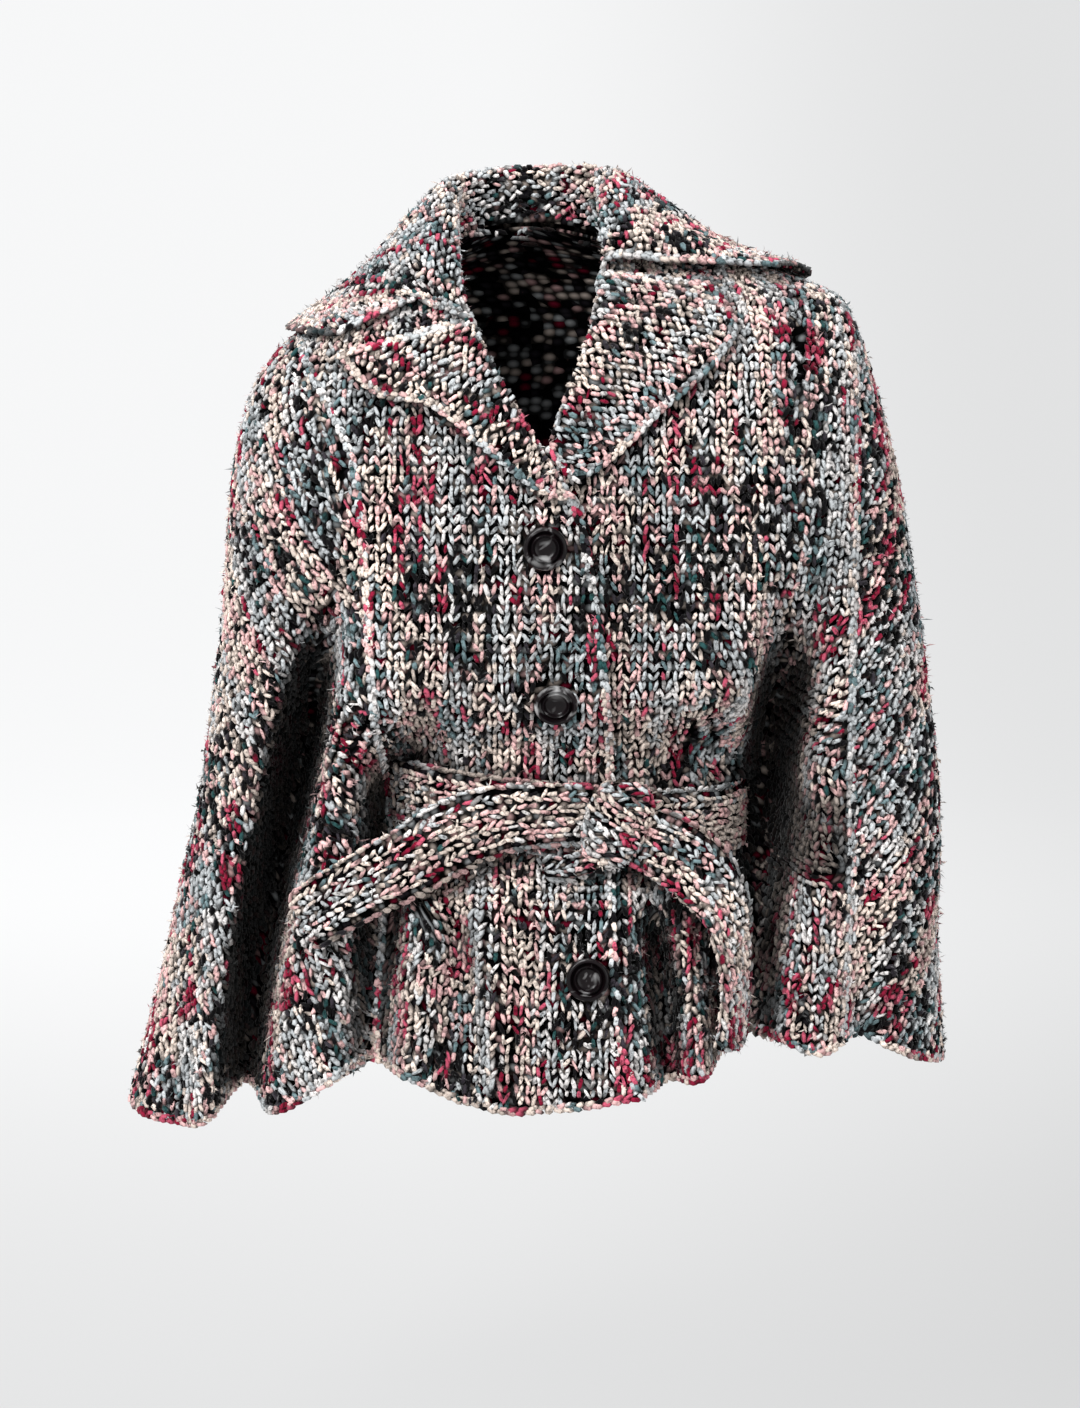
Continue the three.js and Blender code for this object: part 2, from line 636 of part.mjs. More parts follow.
function collar() {
  const rows = COLLAR.map((row, i) => ({ ...row, along: i / (COLLAR.length - 1) }));
  const value = (column, along) => follow(rows, "along", column, along);
  const outer = [];
  for (let i = 0; i <= COLLAR_COLUMNS; i++) {
    const along = i / COLLAR_COLUMNS;
    const [seatTurn, fallTurn] = [value("seat", along), value("fall", along)];
    const fallLevel = value("fallLevel", along);
    const seat = turnSpot(value("seatLevel", along), seatTurn);
    const half = turnSpot(fallLevel * 0.58, (seatTurn + fallTurn) / 2);
    const edge = turnSpot(fallLevel, fallTurn);
    const roll = new THREE.Vector3(
      value("rollX", along), value("rollY", along), value("rollZ", along));
    const path = new THREE.CatmullRomCurve3([
      seat.point.clone().addScaledVector(seat.out, COLLAR_SEAT),
      roll,
      half.point.clone().addScaledVector(half.out, WALL + value("loft", along)),
      edge.point.clone().addScaledVector(edge.out, WALL + value("rise", along)),
    ], false, "centripetal");
    outer.push(COLLAR_SPREAD.map((share) => path.getPointAt(share)));
  }
  return wallBetween(outer, insideOf(outer, WALL));
}

// The same grid moved by the wall's thickness to its hollow side.
function insideOf(grid, thick) {
  return grid.map((row, i) => row.map((point, j) => {
    const [a, b] = [grid[Math.max(i - 1, 0)][j], grid[Math.min(i + 1, grid.length - 1)][j]];
    const [c, d] = [row[Math.max(j - 1, 0)], row[Math.min(j + 1, row.length - 1)]];
    const out = b.clone().sub(a).cross(d.clone().sub(c)).normalize();
    return point.clone().addScaledVector(out, thick);
  }));
}

// ---------- belt ----------

const BELT_STEPS = 52;

// A flat band: eight points round each section, from its middle, its width's direction and its face.
function bandSection(middle, wide, face, width, thick) {
  const [w, t] = [width / 2, thick / 2];
  const round = Math.min(t * 0.8, 2.6);
  const shape = [
    [w, t - round], [w - round, t], [-w + round, t], [-w, t - round],
    [-w, -t + round], [-w + round, -t], [w - round, -t], [w, -t + round],
  ];
  return shape.map(([u, v]) => middle.clone().addScaledVector(wide, u).addScaledVector(face, v));
}

function beltBand(extraWide, extraThick, turns, around) {
  const up = new THREE.Vector3(0, 0, 1);
  const sections = turns.map((turn) => {
    const middle = beltPlan(turn);
    const along = beltPlan(turn + 0.02).sub(beltPlan(turn - 0.02));
    const face = along.clone().cross(up).normalize();
    const wide = face.clone().cross(along).normalize();
    return bandSection(middle, wide, face, BELT_WIDE + extraWide, BELT_THICK + extraThick);
  });
  return tubeThrough(sections, around);
}

const everyTurn = Array.from({ length: BELT_STEPS }, (_, k) => (2 * Math.PI * k) / BELT_STEPS);
const beltLoop = () => beltBand(0, 0, everyTurn, true);

// The room the belt needs where it goes through the cloth, on the right and on the left.
function slitRoom(fromDegrees, toDegrees) {
  const turns = Array.from({ length: 9 }, (_, k) =>
    THREE.MathUtils.degToRad(THREE.MathUtils.lerp(fromDegrees, toDegrees, k / 8)));
  return solidOf(beltBand(4, 3, turns, false));
}

const rightSlit = slitRoom(-102, -58);
const leftSlit = slitRoom(50, 116);

function cutBy(geometry, ...cutters) {
  let solid = solidOf(geometry);
  for (const cutter of cutters) solid = solid.subtract(cutter);
  const whole = solid.decompose().sort((a, b) => b.volume() - a.volume())[0];
  return geometryOf(whole);
}

// A loose end of the belt. x, y and z are the places of its middle line, lean is how far it turns
// away from the front in degrees and wide is its width.
function beltEnd(rows, steps) {
  const last = rows.length - 1;
  const numbered = rows.map((row, i) => ({ ...row, along: i / last }));
  const value = (column, along) => follow(numbered, "along", column, along);
  const place = (along) =>
    new THREE.Vector3(value("x", along), value("y", along), value("z", along));
  const sections = [];
  for (let k = 0; k <= steps; k++) {
    const along = k / steps;
    const run = place(Math.min(along + 0.02, 1)).sub(place(Math.max(along - 0.02, 0))).normalize();
    const lean = THREE.MathUtils.degToRad(value("lean", along));
    const front = new THREE.Vector3(0, -1, 0).addScaledVector(run, run.y).normalize();
    const across = front.clone().cross(run).normalize();
    const face = front.clone().multiplyScalar(Math.cos(lean)).addScaledVector(across, Math.sin(lean));
    const wide = face.clone().cross(run).normalize();
    sections.push(bandSection(place(along), wide, face, value("wide", along), BELT_THICK));
  }
  return tubeThrough(sections);
}

const END_LEFT = table("x y z lean wide", [
  [86, -131, -450, 0, 48],
  [104, -137, -458, 6, 52],
  [128, -142, -474, 20, 52],
  [148, -141, -502, 44, 52],
  [156, -140, -538, 62, 52],
  [157, -143, -575, 66, 52],
  [153, -147, -610, 62, 50],
]);
const END_RIGHT = table("x y z lean wide", [
  [50, -126, -433, 0, 44],
  [10, -126, -433, 0, 47],
  [-30, -126, -438, 0, 52],
  [-66, -131, -452, 0, 54],
  [-96, -139, -469, -4, 51],
  [-126, -144, -484, -8, 48],
  [-150, -144, -498, -12, 47],
  [-172, -139, -513, -20, 46],
]);

// The knot: a band drawn tight round the belt, with a short tongue of it turned out at its foot.
const KNOT = { x: 66, z: -440, halfX: 25, halfY: 13, halfZ: 33, tip: 7, sunk: 3 };

function knot(grow = 0) {
  const ball = mergeVertices(new THREE.SphereGeometry(1, 18, 11).deleteAttribute("normal")
    .deleteAttribute("uv"));
  const at = ball.attributes.position;
  const back = beltFront(KNOT.x - KNOT.halfX - KNOT.tip) - BELT_THICK / 2 + KNOT.sunk + grow;
  for (let i = 0; i < at.count; i++) {
    const [x, y, z] = [at.getX(i), at.getY(i), at.getZ(i)].map((v) => signedPower(v, 0.62));
    const crease = 2.6 * Math.exp(-(((x * 0.8 + z * 0.9) / 0.22) ** 2)) * (y < 0 ? 1 : 0);
    const width = (KNOT.halfX + grow) * (1 - 0.12 * z * z + 0.1 * z);
    at.setXYZ(i, KNOT.x + x * width + KNOT.tip * z, back - (KNOT.halfY + grow) * (1 - y) + crease,
      KNOT.z + z * (KNOT.halfZ + grow));
  }
  return ball;
}

const TONGUE = table("x y z lean wide", [
  [58, -134, -462, 0, 20],
  [34, -132, -472, 0, 19],
  [12, -129, -474, 0, 15],
]);

function tiedKnot() {
  const whole = solidOf(knot()).add(solidOf(beltEnd(TONGUE, 5)));
  return geometryOf(whole);
}

// ---------- buttons ----------

// seat is how high each button's flat back lies so that it rests on the curve of the front.
const BUTTONS = table("x z seat", [[12, -228, -0.05], [20, -344, -2.1], [44, -555, 0.1]]);
const BUTTON_PROFILE = table("r h", [
  [0, 0], [0.78, 0], [0.96, 1.4], [1, 3.2], [0.97, 4.9], [0.88, 5.6], [0.78, 5.2], [0.68, 3.8],
  [0.6, 3.2], [0.3, 2.6], [0, 2.5],
]);

function button({ x, z, seat }) {
  const profile = BUTTON_PROFILE.map(({ r, h }) => new THREE.Vector2((r * BUTTON_ACROSS) / 2, h));
  const { point, out } = frontSpot(x, z);
  const disc = new THREE.LatheGeometry(profile, 20);
  const turn = new THREE.Quaternion().setFromUnitVectors(new THREE.Vector3(0, 1, 0), out);
  const place = point.clone().addScaledVector(out, overlapLift(x) + seat);
  disc.applyQuaternion(turn).translate(place.x, place.y, place.z);
  return disc;
}
// ---------- materials and assembly ----------

const knit = new THREE.MeshStandardMaterial({ color: 0x8d7f7d, roughness: 0.95, metalness: 0 });
const horn = new THREE.MeshStandardMaterial({ color: 0x2a171b, roughness: 0.25, metalness: 0 });

const cape = new THREE.Group();

function add(name, geometry, material) {
  const mesh = new THREE.Mesh(geometry, material);
  mesh.name = name;
  cape.add(mesh);
}

const beltRoom = solidOf(beltBand(2 * SEAM, 2 * SEAM, everyTurn, true));
const knotRoom = solidOf(knot(SEAM));

add("front_right", cutBy(frontRight(), rightSlit), knit);
add("front_left", cutBy(frontLeft(), leftSlit), knit);
add("front_band_left", bandLeft(), knit);
add("wing_right", cutBy(wingRight(), rightSlit), knit);
add("wing_left", wingLeft(), knit);
add("back", back(), knit);
add("lapel_right", lapel(LAPEL_RIGHT, "over", overlapLift), knit);
add("lapel_left", lapel(LAPEL_LEFT, "under", () => 0), knit);
add("collar", collar(), knit);
add("belt_loop", beltLoop(), knit);
add("belt_knot", cutBy(tiedKnot(), beltRoom), knit);
add("belt_end_left", cutBy(beltEnd(END_LEFT, 16), beltRoom, knotRoom), knit);
add("belt_end_right", cutBy(beltEnd(END_RIGHT, 18), beltRoom, knotRoom), knit);
BUTTONS.forEach((row, i) => add(`button_${i + 1}`, button(row), horn));

export default cape;
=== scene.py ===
import math

import bpy
import numpy as np
from mathutils.bvhtree import BVHTree
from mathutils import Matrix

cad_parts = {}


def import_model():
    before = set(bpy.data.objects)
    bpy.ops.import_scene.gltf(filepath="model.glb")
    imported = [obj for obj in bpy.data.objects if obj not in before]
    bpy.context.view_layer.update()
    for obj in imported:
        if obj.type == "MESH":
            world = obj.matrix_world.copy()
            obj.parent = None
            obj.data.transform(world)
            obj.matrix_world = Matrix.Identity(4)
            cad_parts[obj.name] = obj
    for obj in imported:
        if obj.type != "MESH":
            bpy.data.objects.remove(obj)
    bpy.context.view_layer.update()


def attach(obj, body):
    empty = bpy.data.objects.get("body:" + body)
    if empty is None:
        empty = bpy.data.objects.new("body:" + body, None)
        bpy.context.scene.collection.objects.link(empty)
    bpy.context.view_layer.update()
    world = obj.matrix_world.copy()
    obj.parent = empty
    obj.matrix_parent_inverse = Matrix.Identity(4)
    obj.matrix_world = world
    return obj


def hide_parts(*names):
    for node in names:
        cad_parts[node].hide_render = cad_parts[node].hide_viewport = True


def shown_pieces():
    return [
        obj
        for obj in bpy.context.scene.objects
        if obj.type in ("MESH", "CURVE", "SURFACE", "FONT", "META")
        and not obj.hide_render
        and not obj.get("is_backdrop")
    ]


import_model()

# ---- The room -------------------------------------------------------------------------------
# A studio's plain pale bowl: a floor that turns up into a wall all round, with soft white lights
# above and on both sides, and the camera a little over two metres in front of the cape.

bpy.ops.object.select_all(action="DESELECT")
bpy.context.scene.view_settings.view_transform = "Standard"

CAMERA_PLACE = (0.008, -2.5, 0.0)
CAMERA_DOWN = math.radians(8.34)
bpy.ops.object.camera_add(location=CAMERA_PLACE, rotation=(math.pi / 2 - CAMERA_DOWN, 0, 0))
camera = bpy.context.object
camera.name = "camera"
camera.data.sensor_width = 36
camera.data.lens = 80.92
camera.data.clip_start = 0.01
bpy.context.scene.camera = camera

FLOOR_Z = -1.04
BOWL_RADIUS, BOWL_CORNER, BOWL_HEIGHT = 4.6, 1.4, 5.0
BOWL_SIDES, CORNER_STEPS = 96, 12
AIM = np.array([0, 0, -0.3])


def numbered(rows, columns, around=False):
    """The numbers of a grid's points; around brings the first column again at the end."""
    index = np.arange(rows * columns).reshape(rows, columns)
    return np.hstack([index, index[:, :1]]) if around else index


def quads(index):
    """The faces of a numbered grid, which look along down x across."""
    return np.stack([index[:-1, :-1], index[1:, :-1], index[1:, 1:], index[:-1, 1:]],
                    -1).reshape(-1, 4)


def mesh_object(name, points, faces, paint, colours=None, uv=None):
    """A mesh object from points and from faces, in one array for each number of sides."""
    mesh = bpy.data.meshes.new(name)
    sides = np.concatenate([np.full(len(some), some.shape[1]) for some in faces])
    corners = np.concatenate([some.ravel() for some in faces]).astype(np.int32)
    mesh.vertices.add(len(points))
    mesh.vertices.foreach_set("co", np.ascontiguousarray(points, np.float32).ravel())
    mesh.loops.add(len(corners))
    mesh.loops.foreach_set("vertex_index", corners)
    mesh.polygons.add(len(sides))
    mesh.polygons.foreach_set("loop_start", (np.cumsum(sides) - sides).astype(np.int32))
    mesh.update(calc_edges=True)
    mesh.validate()
    mesh.shade_smooth()
    mesh.materials.append(paint)
    if colours is not None:
        colours = np.column_stack([colours, np.ones(len(colours))]).astype(np.float32)
        mesh.color_attributes.new("yarn_colour", "FLOAT_COLOR", "POINT").data.foreach_set(
            "color", colours.ravel())
    if uv is not None:
        mesh.uv_layers.new(name="cloth").data.foreach_set(
            "uv", uv[corners].astype(np.float32).ravel())
    made = bpy.data.objects.new(name, mesh)
    bpy.context.scene.collection.objects.link(made)
    return made


def new_material(name):
    """A material, a maker of its nodes that gives their outputs, and a setter of its surface.
    Each input is given a value or the output that feeds it."""
    material = bpy.data.materials.new(name)
    material.use_nodes = True
    tree = material.node_tree

    def feed(node, inputs):
        for socket, value in inputs.items():
            if isinstance(value, bpy.types.NodeSocket):
                tree.links.new(value, node.inputs[socket])
            else:
                node.inputs[socket].default_value = value

    def add(kind, inputs=None, **settings):
        node = tree.nodes.new("ShaderNode" + kind)
        for setting, value in settings.items():
            setattr(node, setting, value)
        feed(node, inputs or {})
        return node.outputs

    return material, add, lambda inputs: feed(tree.nodes["Principled BSDF"], inputs)


def map_range(add, value, start, end, first, last, **settings):
    return add("MapRange", {"Value": value, "From Min": start, "From Max": end,
                            "To Min": first, "To Max": last}, **settings)["Result"]


def pale_bowl():
    corner = math.pi / 2 * np.arange(1, CORNER_STEPS + 1) / CORNER_STEPS
    flat = BOWL_RADIUS - BOWL_CORNER
    profile = [(0.0, 0.0), (flat, 0.0),
               *zip(flat + BOWL_CORNER * np.sin(corner), BOWL_CORNER * (1 - np.cos(corner))),
               (BOWL_RADIUS, BOWL_HEIGHT)]
    turn = 2 * math.pi * np.arange(BOWL_SIDES) / BOWL_SIDES
    points = [np.stack([radius * np.cos(turn), radius * np.sin(turn),
                        np.full(BOWL_SIDES, FLOOR_Z + height)], 1) for radius, height in profile]
    # Painted light: the bowl glows instead of being lit, brighter to the left and towards the back,
    # dimmer to the right and towards the front, for the fall of the studio light.
    paint, add, surface = new_material("glowing_backdrop")
    parts = add("SeparateXYZ", {"Vector": add("TexCoord")["Object"]})
    glow_falloff = [map_range(add, parts[way], *ends, interpolation_type="SMOOTHSTEP")
             for way, *ends in (("X", -0.2, 1.1, 0.87, 0.7), ("Y", 0.0, 2.6, 0.77, 1.0))]
    surface({"Base Color": (0.06, 0.06, 0.06, 1), "Roughness": 0.9,
             "Emission Color": (0.99, 0.995, 1.0, 1),
             "Emission Strength": add("Math", dict(enumerate(glow_falloff)),
                                      operation="MULTIPLY")["Value"]})
    bowl = mesh_object("bowl", np.vstack(points),
                       [quads(numbered(len(profile), BOWL_SIDES, around=True).T)], paint)
    bowl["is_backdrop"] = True
    return bowl


def facing(way):
    """The turn that points an object's own +Z along a direction."""
    x, y, z = way
    return math.atan2(math.hypot(x, y), z), 0, math.atan2(x, -y)


def soft_light(name, place, size, watts):
    bpy.ops.object.light_add(type="AREA", location=place)
    light = bpy.context.object
    light.name = name
    light.data.shape = "DISK"
    light.data.size = size
    light.data.energy = watts
    light.rotation_euler = facing(np.array(place) - AIM)


bowl = pale_bowl()
soft_light("key_light", (-1.5, -2.1, 1.6), 1.3, 74)
soft_light("fill_light", (2.2, -1.8, 0.3), 2.2, 16)
soft_light("top_light", (0.1, -0.6, 2.7), 1.6, 30)
soft_light("back_light", (-0.6, 2.6, 1.4), 2.0, 32)
world = bpy.data.worlds.new("white_room")
world.use_nodes = True
world.node_tree.nodes["Background"].inputs["Color"].default_value = (0.95, 0.97, 1.0, 1)
world.node_tree.nodes["Background"].inputs["Strength"].default_value = 0.3
bpy.context.scene.world = world

# ---- The right front ------------------------------------------------------------------------
# The wearer's right front, which laps over the left one. It is cut from boucle stockinette with
# the wales running from hem to shoulder, hangs from the shoulder and is drawn in by the belt.

MM = 0.001
WALL, SEAM, LAYER = 4.0, 0.3, 1.0
BELT_WIDE, BELT_THICK = 56.0, 7.0


def table(names, rows):
    """The columns of a table, by their names."""
    return dict(zip(names.split(), np.array(rows).T))


# The cape's rings from the neck (level 0) to the hem (level 1), in millimetres.
RINGS = table("level right left front back z_front z_back z_right z_left square", [
    [0.0, 63, 63, 62, 58, -24, 12, 0, 0, 2.0],
    [0.06, 100, 118, 80, 76, -44, -2, -24, -10, 2.0],
    [0.12, 148, 188, 100, 96, -68, -22, -52, -25, 2.1],
    [0.16, 180, 238, 112, 106, -90, -42, -72, -42, 2.15],
    [0.2, 201, 252, 121, 113, -114, -70, -92, -62, 2.25],
    [0.26, 219, 265, 130, 119, -150, -112, -124, -98, 2.35],
    [0.36, 233, 287, 136, 124, -213, -182, -188, -178, 2.4],
    [0.5, 242, 306, 136, 128, -302, -284, -290, -284, 2.4],
    [0.62, 252, 317, 136, 134, -374, -362, -366, -364, 2.4],
    [0.72, 262, 325, 138, 142, -437, -430, -434, -430, 2.4],
    [0.82, 278, 327, 145, 152, -503, -500, -502, -494, 2.4],
    [0.91, 294, 326, 155, 165, -572, -568, -574, -560, 2.35],
    [1.0, 322, 333, 164, 182, -654, -650, -682, -648, 2.3]])
APEX, APEX_HALF = 0.16, 4.0

# Each fold: face, place at its top and at the hem, top level, level and size of its full depth,
# half its width, its full depth and its depth at the hem.
FOLDS = [
    ("front", -140, -226, 0.38, 0.7, 30, 122, 84), ("front", 206, 168, 0.4, 0.68, 38, 132, 62),
    ("front", -106, -121, 0.58, 0.72, 30, 92, 44), ("front", -84, -52, 0.56, 0.66, 16, 15, 0),
    ("front", -34, -26, 0.6, 0.68, 12, 8, 0), ("front", 118, 100, 0.56, 0.67, 16, 14, 0),
    ("front", -66, -36, 0.76, 0.86, 20, 24, 10), ("front", 88, 108, 0.76, 0.88, 22, 44, 40),
    ("front", 122, 150, 0.77, 0.88, 18, 32, 22), ("front", -20, 14, 0.78, 0.88, 22, 8, 6),
    ("front", 262, 258, 0.62, 0.9, 20, 10, 16), ("front", -262, -276, 0.5, 0.8, 24, 8, 12),
    ("back", -190, -214, 0.3, 0.9, 34, 26, 30), ("back", -120, -132, 0.46, 0.9, 30, 20, 26),
    ("back", -48, -62, 0.36, 0.88, 32, 24, 22), ("back", 22, 18, 0.52, 0.9, 28, 16, 24),
    ("back", 92, 98, 0.4, 0.86, 32, 26, 28), ("back", 166, 182, 0.48, 0.9, 30, 22, 30),
    ("back", 236, 258, 0.34, 0.88, 34, 26, 24), ("right", 30, 44, 0.44, 0.86, 30, 16, 22),
    ("left", 40, 62, 0.5, 0.88, 30, 18, 20)]
FOLD_ENDS = {("front", 118): 0.74, ("front", -84): 0.74, ("front", -34): 0.74}
DEEP = 31  # folds deeper than this swallow whole wales of the knit
GATHER, GATHER_WIDE = 1.3, 1.2  # how much cloth a fold gathers, and over how many half widths
HEM_FRONT = np.array([
    [-322, -683], [-262, -683], [-228, -662], [-200, -664], [-172, -650], [-141, -627],
    [-104, -628], [-78, -635], [-46, -650], [0, -655], [71, -646], [130, -634], [165, -612],
    [196, -608], [226, -620], [247, -607], [265, -612], [296, -630], [333, -648]]).T
HEM_BACK = np.array([
    [-322, -683], [-230, -668], [-120, -656], [0, -650], [130, -644], [240, -642], [333, -648]]).T
HEM_FROM = 0.74
BELT = dict(x=28, side=141, front=118, back=100, square=2.3, z=-440, tilt=-0.085)
CINCH_ACROSS = (-112, -84, 146, 174)  # where the belt draws the cloth in, across
CINCH_DOWN = (0.55, 0.66, 0.775, 0.835)  # and down, in levels
OVERLAP_FROM, OVERLAP_TO = -52, -26
SEAMS = table("level right_front left_front right_back left_back", [
    [0.16, -180, 238, -180, 238], [0.2, -166, 248, -172, 238], [0.25, -146, 251, -160, 228],
    [0.3, -132, 251, -150, 218], [0.42, -124, 249, -142, 206], [0.595, -118, 247, -142, 200],
    [0.735, -112, 247, -148, 200], [0.87, -114, 246, -158, 204], [1.0, -119, 241, -172, 210]])
OPENING = table("level over under", [
    [0.0, -60, 60], [0.04, -58, 60], [0.08, -54, 58], [0.12, -48, 54], [0.16, -38, 46],
    [0.2, -25, 36], [0.25, -6, 25], [0.285, 10, 16], [0.32, 28, -8], [0.355, 38, -22],
    [0.42, 46, -24], [0.54, 56, -18], [0.69, 62, -10], [0.87, 63, -8], [0.96, 70, -2],
    [1.0, 82, 4]])


def smooth_curve(xs, ys, at):
    """A smooth curve through the points (xs, ys), read at one place or many."""
    xs, ys, at = (np.asarray(v, float) for v in (xs, ys, at))
    rise, width = (v[2:] - v[:-2] for v in (np.pad(ys, 1, "edge"), np.pad(xs, 1, "edge")))
    slopes = rise / width
    k = np.clip(np.searchsorted(xs, at, side="left") - 1, 0, len(xs) - 2)
    span = xs[k + 1] - xs[k]
    q = np.clip((at - xs[k]) / span, 0, 1)
    return ((2 * q**3 - 3 * q**2 + 1) * ys[k] + (q**3 - 2 * q**2 + q) * span * slopes[k]
            + (3 * q**2 - 2 * q**3) * ys[k + 1] + (q**3 - q**2) * span * slopes[k + 1])


def at_level(columns, name, level):
    return float(smooth_curve(columns["level"], columns[name], level))


def ease(low, high, at):
    """0 below low, 1 above high and a smooth rise between them."""
    q = np.clip((np.asarray(at, float) - low) / (high - low), 0, 1)
    return q * q * (3 - 2 * q)


def within(at, rise_from, rise_to, fall_from, fall_to):
    """1 between rise_to and fall_from, and 0 outside rise_from and fall_to."""
    return ease(rise_from, rise_to, at) * (1 - ease(fall_from, fall_to, at))


def reaches(line, axis=0):
    """How far along its line each point lies, for one line or a grid of them."""
    steps = np.linalg.norm(np.diff(line, axis=axis), axis=-1)
    return np.concatenate([0 * steps.take([0], axis), np.cumsum(steps, axis)], axis)


def read_line(at, known, points):
    """The points of a line where at falls among the known places of its points."""
    return np.stack([np.interp(at, known, column) for column in points.T], -1)


def unit(vectors):
    return vectors / np.maximum(np.linalg.norm(vectors, axis=-1, keepdims=True), 1e-9)


def belt_height(x):
    return BELT["z"] + BELT["tilt"] * (x - BELT["x"])


def belt_front(x):
    share = np.minimum(np.abs(x - BELT["x"]) / BELT["side"], 1)
    return -BELT["front"] * (1 - share ** BELT["square"]) ** (1 / BELT["square"])


def overlap_lift(x):
    """How far the right front stands forward to lie over the left one."""
    return (WALL + LAYER) * ease(OVERLAP_FROM, OVERLAP_TO, x)


RING_STEPS, CLOTH_STEPS, CLOTH_SOFT = 720, 640, 8  # CLOTH_SOFT rounds a ring's corners off
TURNS = -math.pi + 2 * math.pi * np.arange(RING_STEPS) / RING_STEPS


def laps(values, lap):
    """Values round a ring, on the lap before, on the first lap and on the lap after."""
    return np.concatenate([values + k * lap for k in (-1, 0, 1)])


TURN_LAPS = laps(TURNS, 2 * math.pi)


def ring_line(level, folds):
    """The points of one ring before the cloth is evened out, its plain plan without the belt's
    pull, and how the columns crowd there."""
    value = {name: at_level(RINGS, name, level) for name in RINGS}
    s, c = np.sin(TURNS), np.cos(TURNS)

    def sides(of, right="right", left="left"):
        return np.where(s < 0, of[right], of[left])

    def ends(of, front="front", back="back"):
        return np.where(c > 0, of[front], of[back])

    power = 2 / value["square"]
    x = sides(value) * np.sign(s) * np.abs(s) ** power
    plan_y = -ends(value) * np.sign(c) * np.abs(c) ** power
    z = sides(value, "z_right", "z_left") * s * s + ends(value, "z_front", "z_back") * c * c
    hem = np.where(c > 0, smooth_curve(*HEM_FRONT, x), smooth_curve(*HEM_BACK, x))
    last = {name: column[-1] for name, column in RINGS.items()}
    plain = sides(last, "z_right", "z_left") * s * s + ends(last, "z_front", "z_back") * c * c
    z = z + (hem - plain) * ease(HEM_FROM, 1, level)
    room = BELT_THICK / 2 + 2 * LAYER + overlap_lift(x)
    pull = np.maximum(plan_y, belt_front(x) + room) - plan_y
    y = plan_y + pull * within(x, *CINCH_ACROSS) * within(level, *CINCH_DOWN) * (c > 0)
    crowd, moved = np.ones(RING_STEPS), np.zeros((2, RING_STEPS))
    for face, at0, at1, start, peak, half, depth, hem_depth in folds:
        end = FOLD_ENDS.get((face, at0), 1.0)
        on, place, push = {
            "front": (y < 0, x, (0, 1)), "back": (y > 0, x, (0, -1)),
            "right": (x < 0, y, (1, 0)), "left": (x > 0, y, (-1, 0))}[face]
        now = 0.0
        if start < level < peak:
            now = depth * float(ease(start, peak, level))
        elif peak <= level <= end:
            now = depth + (hem_depth - depth) * float(ease(peak, end, level))
        at = at0 + (at1 - at0) * (level - start) / (end - start)
        q = (place - at) / half
        near = on & (np.abs(q) < GATHER_WIDE)
        gathers = float(ease(start - 0.12, peak, level)) * (level <= end)
        crowd += np.where(near, GATHER * max(depth, hem_depth) * gathers
                          * (1 - (q / GATHER_WIDE) ** 2) / half, 0)
        bell = np.where(near & (np.abs(q) < 1), (1 - q * q) ** 2, 0)
        moved += np.outer(push, bell) * now
    return np.stack([x + moved[0], y + moved[1], z], 1), np.stack([x, plan_y], 1), crowd


def evenly(line, wrap):
    """A closed line of x, y, z, turn, column, spaced evenly along its length."""
    closed = np.vstack([line, line[:1] + [0, 0, 0, 2 * math.pi, wrap]])
    reach = reaches(closed[:, :3])
    return read_line(reach[-1] * np.arange(CLOTH_STEPS) / CLOTH_STEPS, reach, closed), reach[-1]


rings = {}


def ring_at(level):
    """One ring of cloth over three laps: cloth is the distance from the middle of the front."""
    key = round(float(level), 5)
    if key in rings:
        return rings[key]
    points, plan, crowd = ring_line(key, FOLDS)
    steps = crowd * np.linalg.norm(np.roll(plan, -1, axis=0) - plan, axis=1)
    columns = steps.sum()
    line, length = evenly(np.column_stack([points, TURNS, np.cumsum(steps) - steps]), columns)
    reach = min(max(1, int(math.floor(CLOTH_SOFT / length * CLOTH_STEPS + 0.5))), int(key * 60))
    for _ in range(2 if reach > 0 else 0):
        line[:, :3] = sum(np.roll(line[:, :3], d, axis=0)
                          for d in range(-reach, reach + 1)) / (2 * reach + 1)
    line, length = evenly(line, columns)
    step = length / CLOTH_STEPS
    before = np.roll(line[:, 0], 1)
    cross = np.flatnonzero((line[:, 1] < 0) & (before < 0) & (line[:, 0] >= 0))
    i = cross[cross > 0][-1]
    middle = i - line[i, 0] / (line[i, 0] - line[i - 1, 0])
    cloth = (np.arange(CLOTH_STEPS) - middle) * step
    rings[key] = dict(length=length, step=step, cloth=laps(cloth, length),
                      turn=laps(line[:, 3], 2 * math.pi), column=laps(line[:, 4], columns),
                      points=np.vstack([line[:, :3]] * 3))
    return rings[key]


def on_ring(ring, at, by="cloth"):
    return read_line(at, ring[by], ring["points"])


def cloth_of(ring, turn):
    return float(np.interp(turn, ring["turn"], ring["cloth"]))


def side_cloth(ring, side):
    """The cloth distance of the ring's outermost point on one side."""
    d = np.arange(0, ring["length"] / 2, ring["step"])
    return side * d[np.argmax(on_ring(ring, side * d)[:, 0] * side)]


